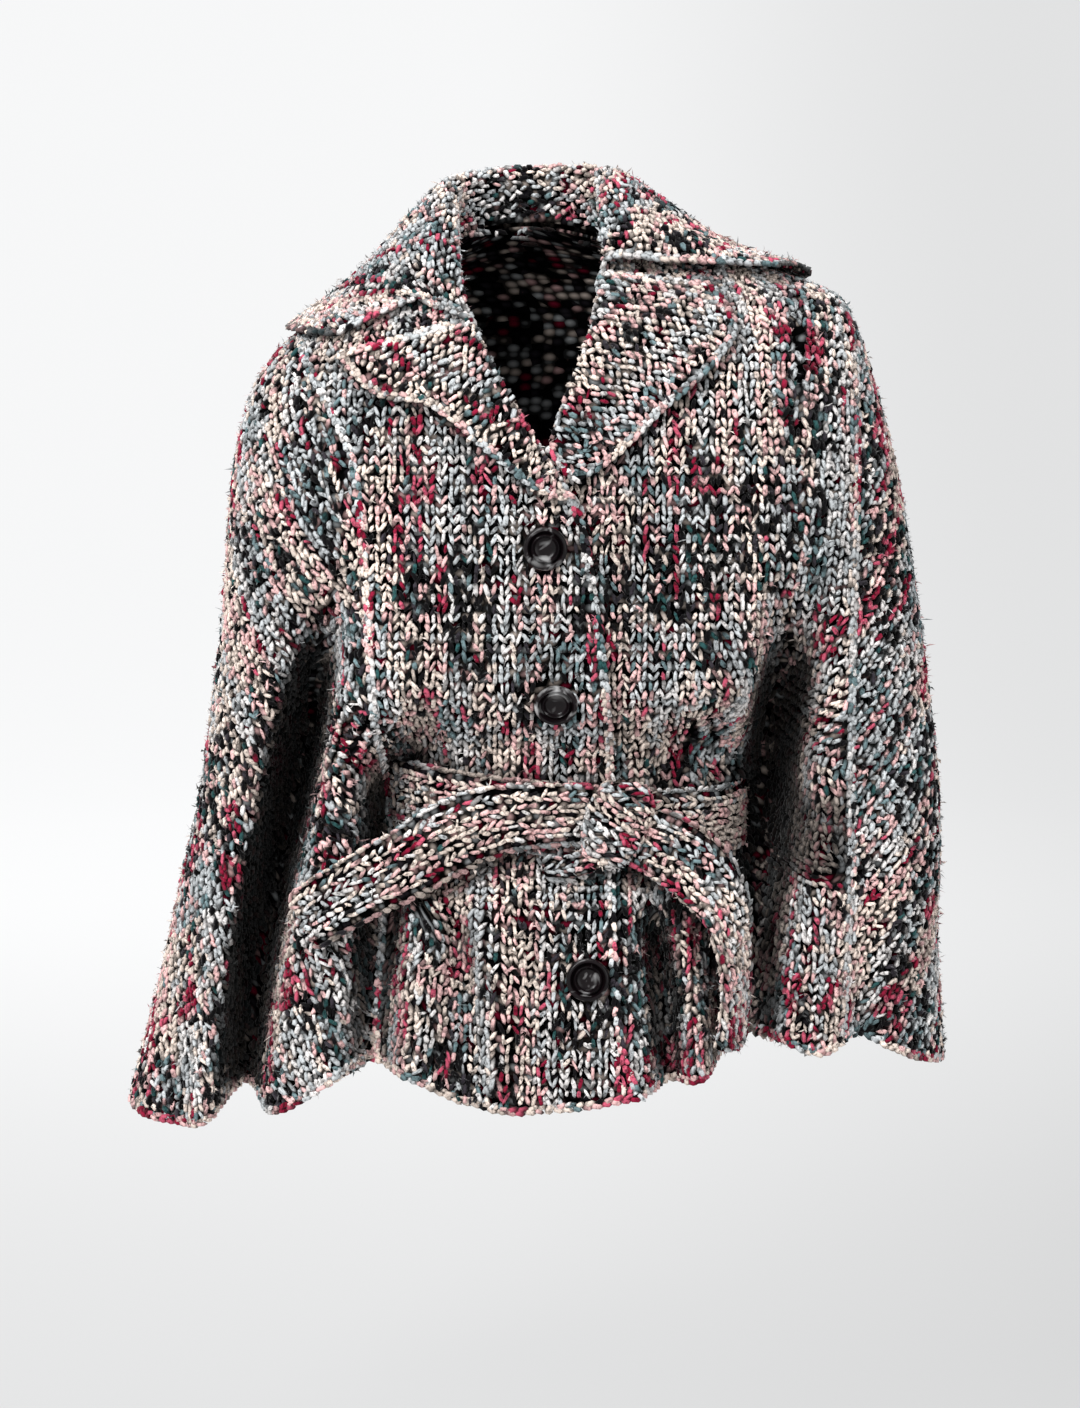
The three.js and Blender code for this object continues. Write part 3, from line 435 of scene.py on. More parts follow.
def cloth_at(ring, x, face):
    """The distance along the cloth to a place across the front, or across the back."""
    side = 1 if x >= 0 else -1
    half = ring["length"] / 2
    d = np.arange(0, half, ring["step"])
    cloth = side * d if face == "front" else side * (half - d)
    line = on_ring(ring, cloth)
    past = (line[:, 0] - x) * side >= 0
    past[0] = False
    gone = (line[:, 1] > 0) & (d > half / 3) if face == "front" else np.zeros(len(d), bool)
    i = int(np.argmax(past)) if past.any() else len(d)
    if i == len(d) or (gone.any() and int(np.argmax(gone)) < i):
        return side_cloth(ring, side)
    now, before = line[i, 0], line[i - 1, 0]
    back = ring["step"] * (now - x) / ((now - before) or 1)
    return side * (d[i] - back) if face == "front" else side * (half - d[i] + back)


def seam_cloth(level, column, side, face):
    ring = ring_at(level)
    edge = side_cloth(ring, side)
    towards = (-1 if face == "front" else 1) * side
    if level <= APEX + 1e-6:
        return edge if level < APEX - 1e-6 else edge + towards * APEX_HALF
    found = cloth_at(ring, at_level(SEAMS, column, level), face)
    return found if (found - edge) * towards > APEX_HALF else edge + towards * APEX_HALF


def seam(column, side, face, gap):
    """One panel's side of a seam, as distances along the cloth."""
    return lambda level: seam_cloth(level, column, side, face) + gap * SEAM / 2


def opening_cloth(level, column):
    return cloth_at(ring_at(level), at_level(OPENING, column, level), "front")


def grid_normals(grid):
    """The direction out of the cloth at each point of a grid of rows down and columns across."""
    return unit(np.cross(np.gradient(grid, axis=0), np.gradient(grid, axis=1)))


ZONE_LEVELS = np.concatenate([np.linspace(0, 0.3, 49)[:-1], np.linspace(0.3, 1, 101)])
ZONE_COLUMNS = 120
SHALLOW = [fold for fold in FOLDS if max(fold[6], fold[7]) <= DEEP]
calm_lines = [ring_line(level, SHALLOW)[0] for level in ZONE_LEVELS]


def drop_table():
    """How far down the cloth each turn of each ring lies, measured with the folds shaken out."""
    lines = np.array([ring_line(level, [])[0] for level in ZONE_LEVELS])
    drop = reaches(lines)
    middle = int(np.argmin(np.abs(ZONE_LEVELS - 0.5)))
    return drop - drop[middle] - lines[middle, :, 2]


DROPS = drop_table()


def calm_reach(i, turn):
    """How far round ring i a turn lies from the middle of the front, deep folds shaken out."""
    line = calm_lines[i]
    steps = np.linalg.norm(np.roll(line, -1, axis=0) - line, axis=1)
    reach = np.cumsum(steps) - steps
    reach -= reach[RING_STEPS // 2]
    return float(np.interp(turn, TURN_LAPS, laps(reach, steps.sum())))


CLOTH_GRID, CLOTH_SLACK, SLOPE_STEP = 3.6, 0.9, 0.9


def even_steps(values):
    low, high = np.nanmin(values) / CLOTH_GRID, np.nanmax(values) / CLOTH_GRID
    return np.arange(math.floor(low), math.ceil(high) + 1) * CLOTH_GRID


def covered(at, line):
    return (at >= line[0] - CLOTH_SLACK) & (at <= line[-1] + CLOTH_SLACK)


def resampled(places, across, down):
    """A grid of places with their flat distances across and down, as an even flat grid."""
    rows, cloth = even_steps(down), np.dstack([places, across])
    laid = np.full((len(rows), places.shape[1], 4), np.nan)
    for m in range(places.shape[1]):
        inside = covered(rows, down[:, m])
        laid[inside, m] = read_line(rows[inside], down[:, m], cloth[:, m])
    columns = even_steps(laid[:, :, 3])
    grid = np.full((len(rows), len(columns), 3), np.nan)
    for k, row in enumerate(laid):
        row = row[~np.isnan(row[:, 3])]
        if len(row) > 1:
            u = np.maximum.accumulate(row[:, 3])
            inside = covered(columns, u)
            grid[k, inside] = read_line(columns[inside], u, row[:, :3])
    return dict(grid=grid, u=columns[0], t=rows[0])


def knit_zone(start, end, anchor, lift=None, top=0.0, plumb=False):
    """A stretch of a panel between deep folds, laid out flat: a grid of places on the cloth by
    distance across (u) and down (t). start and end give cloth distances for a level. The wales
    keep their place at the turn anchor, or at the middle; plumb lets them hang straight there."""
    places, across, down, shift = [], [], [], 0.0
    for i, level in enumerate(ZONE_LEVELS):
        if level < top - 1e-9:
            continue
        ring = ring_at(level)
        cloth = np.linspace(start(level), end(level), ZONE_COLUMNS)
        turn = np.interp(cloth, ring["cloth"], ring["turn"])
        held = anchor if anchor is not None else float(
            np.interp((cloth[0] + cloth[-1]) / 2, ring["cloth"], ring["turn"]))
        at = cloth_of(ring, held)
        if plumb and places:
            near = at + shift + np.linspace(-30, 30, 601)
            gap = np.linalg.norm(on_ring(ring, near) - stood, axis=1)
            shift = float(near[gap.argmin()]) - at
        else:
            first = calm_reach(i, held)
        stood = on_ring(ring, at + shift)
        places.append(on_ring(ring, cloth))
        across.append(first + cloth - at - shift)
        down.append(np.interp(turn, TURN_LAPS, np.tile(DROPS[i], 3)))
    places, across, down = np.array(places), np.array(across), np.array(down)
    down = np.maximum.accumulate(down, axis=0)
    if lift is not None:
        places = places + grid_normals(places) * lift(places[:, :, 0])[:, :, None]
    return resampled(places, across, down)


def blend(a, b, q, r):
    """The mix of a row of two values above, a, and one below, b, at q across and r down."""
    return (a[0] * (1 - q) + a[1] * q) * (1 - r) + (b[0] * (1 - q) + b[1] * q) * r


def read_zone(zone, u, t):
    """Places on the cloth, and its directions across and down, at flat places (u, t)."""
    grid = zone["grid"]
    du, dt = (u - zone["u"]) / CLOTH_GRID, (t - zone["t"]) / CLOTH_GRID

    def read(du, dt):
        j = np.clip(np.floor(du).astype(int), 0, grid.shape[1] - 2)
        k = np.clip(np.floor(dt).astype(int), 0, grid.shape[0] - 2)
        found = blend((grid[k, j], grid[k, j + 1]), (grid[k + 1, j], grid[k + 1, j + 1]),
                      (du - j)[:, None], (dt - k)[:, None])
        found[(du < 0) | (dt < 0) | (du > grid.shape[1] - 1) | (dt > grid.shape[0] - 1)] = np.nan
        return found

    place = read(du, dt)

    def slope(across, down):
        ahead, behind = read(du + across, dt + down), read(du - across, dt - down)
        return np.where(np.isnan(ahead), place, ahead) - np.where(np.isnan(behind), place, behind)

    return place, slope(SLOPE_STEP, 0), slope(0, SLOPE_STEP)


def drift(i, j, seed):
    """Slow uneven drift between 0 and 1 over two coordinates, the same on every run."""
    def corner(a, b):
        mixed = np.sin(a * 127.1 + b * 311.7 + seed * 74.7) * 43758.5453
        return mixed - np.floor(mixed)

    a, b = np.floor(i), np.floor(j)
    return blend(*((corner(a, down), corner(a + 1, down)) for down in (b, b + 1)),
                 ease(0, 1, i - a), ease(0, 1, j - b))


def from_screen(*values):
    """The strengths of light that a screen shows for values from 0 to 255."""
    return [((v / 255 + 0.055) / 1.055) ** 2.4 if v > 10 else v / 255 / 12.92 for v in values]


CREAM, WHITE, PALE_BLUE, BLUE_GREY, PINK, ROSE, CRIMSON, TEAL, CHARCOAL, BLACK = range(10)
YARNS = np.array([from_screen(*tone) for tone in [
    (238, 221, 209), (233, 229, 227), (196, 200, 202), (112, 134, 138), (234, 190, 188),
    (196, 86, 110), (140, 24, 54), (44, 82, 82), (52, 48, 54), (11, 9, 12)]])
STITCH_WIDE, STITCH_TALL = 9.4, 7.4
# Where the darker lengths of the yarn fall on both fronts, as distances down the cloth.
DARK_COURSES, DARK_FADE = [(212, 262), (540, 572)], 22
DARK_LEAST, DARK_MOST = 0.02, 0.6  # the share of dark stitches in the palest and darkest patches


def yarn_tones(wale, row, seed, draw, light=0.0):
    """The yarn's colour at each stitch: marled, with patches that run along the wales."""
    calm = 0.6 * drift(wale / 1.5, row / 13, seed) + 0.4 * drift(wale / 8, row / 7, seed + 1)
    calm = calm + light - 0.13 * sum(within(row * STITCH_TALL, a - DARK_FADE, a, b, b + DARK_FADE)
                                     for a, b in DARK_COURSES)
    reds = drift(wale / 0.85, row / 6, seed + 2)
    blues = drift(wale / 3.1, row / 7, seed + 3)
    warm = drift(wale / 1.8, row / 15, seed + 4)
    pick, second, third = (draw.random(len(wale)) for _ in range(3))
    mood = warm + 0.5 * (second - 0.5)
    dark = DARK_LEAST + DARK_MOST * (1 - ease(0.08, 0.54, calm))
    red, dim, blue = (reds > 0.74) & (third > 0.2), pick < dark, (blues > 0.66) & (third < 0.7)
    tone = np.select([
        red & (second < 0.36), red & (second < 0.68), red,
        dim & (third < 0.55), dim & (third < 0.75), dim & (third < 0.88), dim,
        (mood > 0.4) & (third > 0.7), blue & (second < 0.7), blue, mood > 0.46, third < 0.55,
    ], [CRIMSON, ROSE, PINK, BLACK, CHARCOAL, TEAL, BLUE_GREY, PINK, PALE_BLUE, BLUE_GREY, CREAM,
        WHITE], PALE_BLUE)
    runs = drift(wale / 1.25, row / 15, seed + 5) + 0.35 * drift(wale / 5, row / 11, seed + 6)
    return YARNS[tone] * (0.58 + 0.46 * runs[:, None] + 0.2 * draw.random((len(wale), 1)))


LEG_SIDES, LEG_RINGS = 4, (-0.48, 0.46)


def leg_pattern():
    """One leg of a stitch: a plump grain pointed at both ends, with its length from -1 to 1."""
    turn = 2 * math.pi * (np.arange(LEG_SIDES) + 0.5) / LEG_SIDES
    rings = [np.stack([np.full(LEG_SIDES, along), np.cos(turn), np.sin(turn)], 1)
             for along in LEG_RINGS]
    faces = []
    for k in range(LEG_SIDES):
        a, b = 1 + k, 1 + (k + 1) % LEG_SIDES
        c, d = a + LEG_SIDES, b + LEG_SIDES
        faces += [(0, b, a), (a, b, d), (a, d, c), (c, d, 1 + 2 * LEG_SIDES)]
    return np.vstack([[-1, 0, 0], *rings, [1, 0, 0]]), np.array(faces)


LEG_POINTS, LEG_FACES = leg_pattern()
LEG_SHADE = np.where(np.abs(LEG_POINTS[:, 0]) > 0.9, 0.5, np.where(LEG_POINTS[:, 2] > 0, 1.0, 0.4))
LEG_ARCH = 0.5  # how far a leg's ends bend down, as a share of its thickness
DARK_STRANDS = 0.12  # the share of half legs that lie in shade
LEG_HALF_SIZE = (5.1, 1.85, 2.1)  # half its length, width and thickness


def frames(place, across, down):
    """The directions across, down and out of the cloth at each place."""
    a, d = unit(across), unit(down)
    return a, d, unit(np.cross(d, a))


def grains(centres, ways, outs, sizes):
    """Grains from lists: their places, their directions along, across and up, their sizes."""
    centre, along, out, size = map(np.vstack, (centres, ways, outs, sizes))
    wide = unit(np.cross(out, along))
    return centre, along, wide, unit(np.cross(along, wide)), size


def uneven(draw, count, spread, low, high):
    return np.clip(draw.normal(1, spread, (count, 3)), low, high)


def legs(place, across, down, draw):
    """The two legs of every stitch, from its place and its directions across and down."""
    a, d, out = frames(place, across, down)
    centres, ways, sizes = [], [], []
    count = len(place)
    for side in (-1, 1):
        lean = np.radians(21 + 13 * draw.standard_normal(count))[:, None]
        along = unit(d * np.cos(lean) - a * side * np.sin(lean))
        centre = place + a * side * STITCH_WIDE * 0.235 + out * 0.35
        centre = centre + a * draw.normal(0, 0.55, (count, 1)) + d * draw.normal(0, 0.7, (count, 1))
        centres.append(centre + out * draw.normal(0, 0.45, (count, 1)))
        ways.append(unit(along + out * draw.normal(0.1, 0.12, (count, 1))))
        sizes.append(uneven(draw, count, 0.17, 0.55, 1.5) * LEG_HALF_SIZE)
    return grains(centres, ways, [out, out], sizes)


def add_ramp(add, value, stops, interpolation="LINEAR"):
    """A colour ramp read at a value; stops are pairs of a place and a colour, in order."""
    output = add("ValToRGB", {"Fac": value})["Color"]
    ramp = output.node.color_ramp
    ramp.interpolation = interpolation
    for k, (at, tone) in enumerate(stops):
        stop = ramp.elements[k] if k < 2 else ramp.elements.new(at)
        stop.position, stop.color = at, (*tone, 1)
    return output


def boucle_yarn():
    """Marled boucle: the colour of each loop broken by dark strands and pale slubs, and fuzzy."""
    material, add, surface = new_material("boucle_yarn")
    where = add("TexCoord")["Object"]
    strand = add("TexNoise", {"Vector": where, "Scale": 380, "Detail": 3})["Fac"]
    mixed = add("VectorMath", {0: add("Attribute", attribute_name="yarn_colour")["Color"],
                               "Scale": map_range(add, strand, 0.34, 0.52, 0.3, 1.12)},
                operation="SCALE")["Vector"]
    fuzz = add("TexNoise", {"Vector": where, "Scale": 900, "Detail": 4})["Fac"]
    bump = add("Bump", {"Strength": 0.5, "Distance": 0.0012, "Height": fuzz})["Normal"]
    surface({"Roughness": 0.95, "Sheen Weight": 0.1, "Sheen Roughness": 0.5,
             "Specular IOR Level": 0.08, "Base Color": mixed, "Normal": bump})
    return material


def knit_backing():
    """The ground of the cloth between the loops and on the wrong side, with purl bumps: the yarn's
    own colours, with painted shade that falls from each bump's middle to near black at its rim.
    """
    material, add, surface = new_material("knit_ground")
    size = add("Mapping", {"Vector": add("TexCoord")["UV"], "Scale": (
        1 / (STITCH_WIDE * MM), 1.15 / (STITCH_TALL * MM), 1)})["Vector"]
    loops = add("TexVoronoi", {"Vector": size, "Scale": 1.0, "Randomness": 0.55})
    number = add("SeparateColor", {"Color": loops["Color"]})["Red"]
    tint = add_ramp(add, number, [(at, YARNS[tone]) for at, tone in (
        (0.0, BLACK), (0.22, CREAM), (0.42, CRIMSON), (0.5, PALE_BLUE), (0.68, PINK),
        (0.8, CHARCOAL))], "CONSTANT")
    # Painted shade: each bump's colour darkens from its middle to near black at its rim.
    mixed = add("VectorMath", {0: tint, "Scale": map_range(
        add, loops["Distance"], 0.15, 0.6, 0.5, 0.02)}, operation="SCALE")["Vector"]
    bump = add("Bump", {"Strength": 0.9, "Distance": 0.003, "Height": loops["Distance"]},
               invert=True)["Normal"]
    surface({"Roughness": 1.0, "Specular IOR Level": 0.04, "Base Color": mixed, "Normal": bump})
    return material


yarn_material, ground_material = boucle_yarn(), knit_backing()
GROUND_SUNK = 1.6  # the ground lies this far under the solid's face, with the loops standing on it
GROUND_THICK = 2.2


def knit_piece(name, points, faces, paint, **layers):
    """A piece of the knit from points in millimetres. It rides on the cape's one body."""
    made = mesh_object(name, points.reshape(-1, 3) * MM, faces, paint, **layers)
    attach(made, "root")
    return made


def stitch_mesh(name, centre, along, wide, up, size, colours):
    """All the legs of a piece as one mesh."""
    p = LEG_POINTS
    points = (centre[:, None] + along[:, None] * (p[None, :, 0:1] * size[:, None, 0:1])
              + wide[:, None] * (p[None, :, 1:2] * size[:, None, 1:2])
              + up[:, None] * ((p[None, :, 2:3] + LEG_ARCH * (0.35 - p[None, :, 0:1] ** 2))
                               * size[:, None, 2:3]))
    count = len(centre)
    faces = LEG_FACES[None] + (np.arange(count) * len(p))[:, None, None]
    strand = np.random.default_rng(count).random((count, 2))
    strand = np.where(strand < DARK_STRANDS, 0.3, 0.8 + 0.4 * strand)
    strand = np.where(p[None, :, 0] < 0, strand[:, :1], strand[:, 1:])
    tones = colours[:, None] * (strand * LEG_SHADE)[:, :, None]
    return knit_piece(name, points, [faces.reshape(-1, 3)], yarn_material,
                      colours=tones.reshape(-1, 3))


def shell(name, face, out):
    """A thin closed wall of cloth sunk under a grid of places, in millimetres."""
    outer = face - out * GROUND_SUNK
    rows, columns = outer.shape[:2]
    index = numbered(rows, columns)
    under = index + rows * columns
    rim = np.concatenate([index[:-1, 0], index[-1, :-1], index[:0:-1, -1], index[0, :0:-1]])
    ahead = np.roll(rim, -1)
    walls = np.stack([rim, rim + rows * columns, ahead + rows * columns, ahead], 1)
    across, down = reaches(outer, 1), reaches(outer, 0)
    across = across - across[:, columns // 2:columns // 2 + 1]
    uv = np.stack([across, down - down[rows // 2]], -1).reshape(-1, 2) * MM
    return knit_piece(name, np.array([outer, outer - out * GROUND_THICK]),
                      [quads(index), quads(under.T), walls], ground_material,
                      uv=np.vstack([uv, uv]))


def ground(name, start, end, columns, top=0.0, lift=None):
    """The ground of one panel, from its first edge to its last, on the solid's form."""
    rows = []
    for level in ZONE_LEVELS[::2]:
        if level >= top - 1e-9:
            ring = ring_at(level)
            ends = np.interp([start(level), end(level)], ring["cloth"], ring["column"])
            rows.append(on_ring(ring, np.linspace(*ends, columns + 1), "column"))
    face = np.array(rows)
    out = grid_normals(face)
    if lift is not None:
        face = face + out * lift(face[:, :, 0])[:, :, None]
    return shell(name, face, out), face


def lattice(zone, slant=0.0):
    """Every stitch of a zone: its place, its directions across and down, and its number across
    and down. slant turns the wales away from straight down, in degrees."""
    grid, turn = zone["grid"], math.radians(slant)
    way = np.array([math.sin(turn), math.cos(turn)])
    side = np.array([math.cos(turn), -math.sin(turn)])
    corners = np.array([[zone["u"] + CLOTH_GRID * j, zone["t"] + CLOTH_GRID * k]
                        for j in (0, grid.shape[1] - 1) for k in (0, grid.shape[0] - 1)])
    i, j = np.meshgrid(*(np.arange(math.floor(span.min()), math.ceil(span.max()) + 1)
                         for span in (corners @ side / STITCH_WIDE, corners @ way / STITCH_TALL)))
    i, j = i.ravel().astype(float), j.ravel().astype(float)
    flat = i[:, None] * STITCH_WIDE * side + j[:, None] * STITCH_TALL * way
    place, across, down = read_zone(zone, flat[:, 0], flat[:, 1])
    good = ~np.isnan(place).any(1)
    place, across, down = place[good], across[good], down[good]
    return (place, across * side[0] + down * side[1], down * way[1] + across * way[0],
            i[good], j[good])


BUTTON_PLACES = [(12, -228, -0.05), (20, -344, -2.1), (44, -555, 0.1)]  # x, z, seat
BUTTON_ACROSS = 33.0
SLIT_FROM, SLIT_ROOM, SLIT_ROOM_HIGH = 0.62, 3.2, 2.5


def under_button(place, reach=0.5):
    """Whether a place lies under one of the buttons, which flatten the loops there."""
    near = [np.hypot(place[:, 0] - x, place[:, 2] - z) < BUTTON_ACROSS * reach
            for x, z, _ in BUTTON_PLACES]
    return np.any(near, axis=0) & (place[:, 1] < -60)


def in_slit(place):
    """Whether a place lies in the room that the belt needs where it goes through the cloth."""
    x, y = place[:, 0] - BELT["x"], place[:, 1]
    depth = np.where(y < 0, BELT["front"], BELT["back"])
    radius = ((np.abs(x) / BELT["side"]) ** BELT["square"]
              + (np.abs(y) / depth) ** BELT["square"]) ** (1 / BELT["square"])
    away = np.abs(radius - 1) * np.hypot(x, y)
    height = place[:, 2] - belt_height(place[:, 0])
    return ((np.abs(x) / BELT["side"] > SLIT_FROM) & (away < BELT_THICK / 2 + SLIT_ROOM)
            & (np.abs(height) < BELT_WIDE / 2 + SLIT_ROOM_HIGH))


def skin(levels, cloth, around=False):
    """A stretch of the cape's outer face to cast rays at. cloth gives a ring's places on it."""
    grid = np.array([on_ring(ring, cloth(ring)) for ring in map(ring_at, levels)])
    return BVHTree.FromPolygons(grid.reshape(-1, 3).tolist(),
                                quads(numbered(*grid.shape[:2], around)).tolist())


whole_skin = skin(ZONE_LEVELS[::2], lambda ring: np.arange(300) / 300 * ring["length"], True)
LOOKS = [(math.radians(tip), 2 * math.pi * k / count + tip)
         for tip, count in ((18, 3), (42, 5), (64, 5)) for k in range(count)]
LOOK_REACH, SHUT_FROM, SHUT_TO, SHUT_SHADE = 120, 0.12, 0.7, 0.96


def painted_fold_shade(place, across, down):
    """The painted shade of each stitch, from how open the cape is around it: 1 on a free face and
    near 0 deep in a fold, where it darkens the loops' colour to stand in for the fold's shade."""
    a = unit(across)
    out = unit(np.cross(down, a))
    d = np.cross(a, out)
    start = (place + out * 3).tolist()
    shut = total = 0.0
    for tip, turn in LOOKS:
        way = (out * math.cos(tip) + a * math.sin(tip) * math.cos(turn)
               + d * math.sin(tip) * math.sin(turn)).tolist()
        hit = np.array([whole_skin.ray_cast(o, w, LOOK_REACH)[0] is not None
                        for o, w in zip(start, way)])
        shut = shut + hit * math.cos(tip)
        total += math.cos(tip)
    return 1 - SHUT_SHADE * ease(SHUT_FROM, SHUT_TO, shut / total)


# The middle line of each loose belt end: x, y, z, lean, width.
END_LEFT = np.array([
    [86, -131, -450, 0, 48], [104, -137, -458, 6, 52], [128, -142, -474, 20, 52],
    [148, -141, -502, 44, 52], [156, -140, -538, 62, 52], [157, -143, -575, 66, 52],
    [153, -147, -610, 62, 50]])
END_RIGHT = np.array([
    [50, -126, -433, 0, 44], [10, -126, -433, 0, 47], [-30, -126, -438, 0, 52],
    [-66, -131, -452, 0, 54], [-96, -139, -469, -4, 51], [-126, -144, -484, -8, 48],
    [-150, -144, -498, -12, 47], [-172, -139, -513, -20, 46]])
# The free edge of each lapel: its level on the roll line, and where it lies.
LAPEL_RIGHT = np.array([[0.312, 30, -191], [0.275, 2, -181], [0.23, -34, -152],
                        [0.18, -74, -122], [0.148, -112, -116], [0.118, -141, -90]])
LAPEL_LEFT = np.array([[0.276, 33, -178], [0.25, 62, -160], [0.2, 96, -128],
                       [0.145, 128, -101], [0.095, 153, -70], [0.05, 138, -40]])


def by_laid_cloth(place):
    """The shade beside the belt, its loose ends and the lapels' edges: 1 away from them."""
    shade = ease(25, 43, np.abs(place[:, 2] - belt_height(place[:, 0])))

    def away(rows, x, lower):
        line = read_line(np.linspace(0, len(rows) - 1, 60), np.arange(len(rows)), rows)
        return np.hypot(place[:, :1] - line[:, x], place[:, 2:] - line[:, 2] + lower), line

    for end in (END_LEFT, END_RIGHT):
        far, line = away(end, 0, 4)
        far -= line[:, 4] / 2 * np.cos(np.radians(line[:, 3]))
        shade = np.minimum(shade, ease(-1, 17, far.min(1)))
    for edge in (LAPEL_RIGHT, LAPEL_LEFT):
        shade = np.minimum(shade, 0.15 + 0.85 * ease(1, 15, away(edge, 1, 0)[0].min(1)))
    return 0.22 + 0.78 * shade


FIBRES_PER_STITCH = 4


def fibres(name, centre, up, tones, draw):
    """Fine loose hairs that stand off the loops, each a thin bent blade."""
    pick = draw.integers(0, len(centre), len(centre) // 2 * FIBRES_PER_STITCH)
    pick = pick[~under_button(centre[pick], 0.62)]
    count = len(pick)
    root, out = centre[pick] + up[pick] * 1.2, up[pick]
    way = unit(out * 0.35 + draw.normal(0, 0.75, (count, 3)) + [0, 0, -0.15])
    bend = unit(way + draw.normal(0, 0.6, (count, 3)) + [0, 0, -0.2])
    side = unit(np.cross(way, draw.normal(0, 1, (count, 3))))
    long = draw.gamma(3.0, 0.9, (count, 1)) + 1.2
    wide = draw.uniform(0.09, 0.2, (count, 1))
    middle = root + way * long * 0.5
    points = np.stack([root - side * wide, root + side * wide, middle + side * wide,
                       middle + bend * long * 0.5], 1)
    faces = np.array([[0, 1, 2], [0, 2, 3]]) + 4 * np.arange(count)[:, None, None]
    return knit_piece(name, points, [faces.reshape(-1, 3)], yarn_material,
                      colours=np.repeat(tones[pick], 4, axis=0))


def knit(name, zones, seed, light=0.0, parts=1, stitch=legs, panel=True, beside=None):
    """The loops that stand on a ground, with their loose fibres, in one or more meshes. A panel
    leaves room for the belt and gets painted shade in its folds."""
    draw = np.random.default_rng(seed)
    found = map(np.concatenate, zip(*(lattice(*zone) for zone in zones)))
    place, across, down, wale, row = found
    keep = ~(under_button(place) | (panel & in_slit(place)))
    place, across, down, wale, row = (a[keep] for a in (place, across, down, wale, row))
    loops = stitch(place, across, down, draw)
    # Painted shade: the loops' colour is darkened deep in folds and beside the belt and lapels.
    shade = painted_fold_shade(place, across, down) if panel else np.ones(len(place))
    shade = np.tile(shade * beside(place) if beside else shade, 2)[:, None]
    tones = shade * yarn_tones(np.concatenate([wale, wale + 0.5]), np.tile(row, 2), seed, draw,
                               light)
    order = np.argsort(loops[0][:, 0], kind="stable")
    made = [stitch_mesh(name if parts == 1 else f"{name}_{k}",
                        *(values[part] for values in (*loops, tones)))
            for k, part in enumerate(np.array_split(order, parts), 1)]
    return made + [fibres(name.replace("loops", "fuzz"), loops[0], loops[3],
                          tones * 0.7 + 0.13 * shade, draw)]


def edge_chain(line, out, seed, light):
    """The slipped stitches along an edge: one plump grain after another down a line."""
    draw = np.random.default_rng(seed)
    reach = reaches(line)
    at = np.arange(0.5, reach[-1] / STITCH_TALL) * STITCH_TALL
    place, ahead, behind = (read_line(at + d, reach, line) for d in (0, 2, -2))
    along, up = unit(ahead - behind), unit(read_line(at, reach, out))
    side = unit(np.cross(up, along))
    count = len(at)
    centres, ways, sizes = [], [], []
    for part in (-1, 1):
        centres.append(place + side * part * 1.5 + along * part * 1.2
                       + up * draw.normal(0, 0.3, (count, 1)))
        ways.append(unit(along + side * 0.28 * part * draw.normal(1, 0.3, (count, 1))))
        sizes.append(uneven(draw, count, 0.13, 0.6, 1.4) * (5.0, 2.4, 2.3))
    tones = yarn_tones(np.zeros(2 * count), np.tile(np.arange(count), 2), seed, draw, light)
    return *grains(centres, ways, [up, up], sizes), tones


def chain_mesh(name, chains):
    """Several edge chains as one mesh."""
    return stitch_mesh(name, *map(np.vstack, zip(*chains)))


def panel_edges(name, grid, lines):
    """Edge chains down lines of a panel's face, its hem or a column: line, seed and light."""
    out, chains = grid_normals(grid), []
    for line, seed, light in lines:
        places, outs = (grid[-1], out[-1]) if line == "hem" else (grid[:, line], out[:, line])
        chains.append(edge_chain(places + outs * 0.5, outs, seed, light))
    return chain_mesh(name, chains)


def right_front_edge(level):
    return opening_cloth(level, "over")


right_front_seam = seam("right_front", -1, "front", 1)
right_front, right_front_face = ground("right_front", right_front_seam, right_front_edge, 46,
                                       lift=overlap_lift)
right_front_loops = knit("right_front_loops", [
    (knit_zone(right_front_seam, right_front_edge, 0.0, overlap_lift), 0)], 11,
    beside=by_laid_cloth)
right_front_loops.append(panel_edges("right_front_edge", right_front_face, [
    (-1, 12, -0.15), ("hem", 13, 0.1)]))
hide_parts("front_right")

# ---- The left front -------------------------------------------------------------------------
# The wearer's left front, with a band along its edge that is hidden under the right one. Beside
# the belt it falls into three deep folds, which swallow whole wales of the knit.

FOLD_AT_RIGHT_WING, FOLD_AT_LEFT_WING, FLARE_1, FLARE_2 = FOLDS[0], FOLDS[1], FOLDS[7], FOLDS[8]
BAND_WIDE, BAND_SHARE = 38, 0.35


def at_bottom(fold):
    """The line down the bottom of a fold, as distances along the cloth."""
    at0, at1, start = fold[1:4]

    def line(level):
        at = at0 + (at1 - at0) * max(level - start, 0) / (1 - start)
        reach = at_level(RINGS, "right" if at < 0 else "left", level)
        square = at_level(RINGS, "square", level)
        turn = math.copysign(math.asin(min(abs(at) / reach, 1) ** (square / 2)), at)
        return cloth_of(ring_at(level), turn)
    return line


def before(line, limit):
    return lambda level: min(line(level), limit(level) - 1)


def left_front_edge(level):
    return opening_cloth(level, "under")


def band_seam(gap):
    """One side of the line between the hidden band and the rest of the left front."""
    def line(level):
        under = left_front_edge(level)
        return under + min(BAND_WIDE, (seam_cloth(level, "left_front", 1, "front") - under)
                           * BAND_SHARE) + gap * SEAM / 2
    return line


front_band = ground("left_front_band", left_front_edge, band_seam(-1), 10)[0]
front_band_loops = knit("left_front_band_loops", [
    (knit_zone(left_front_edge, band_seam(-1), 0.0), 0)], 19)
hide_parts("front_band_left")

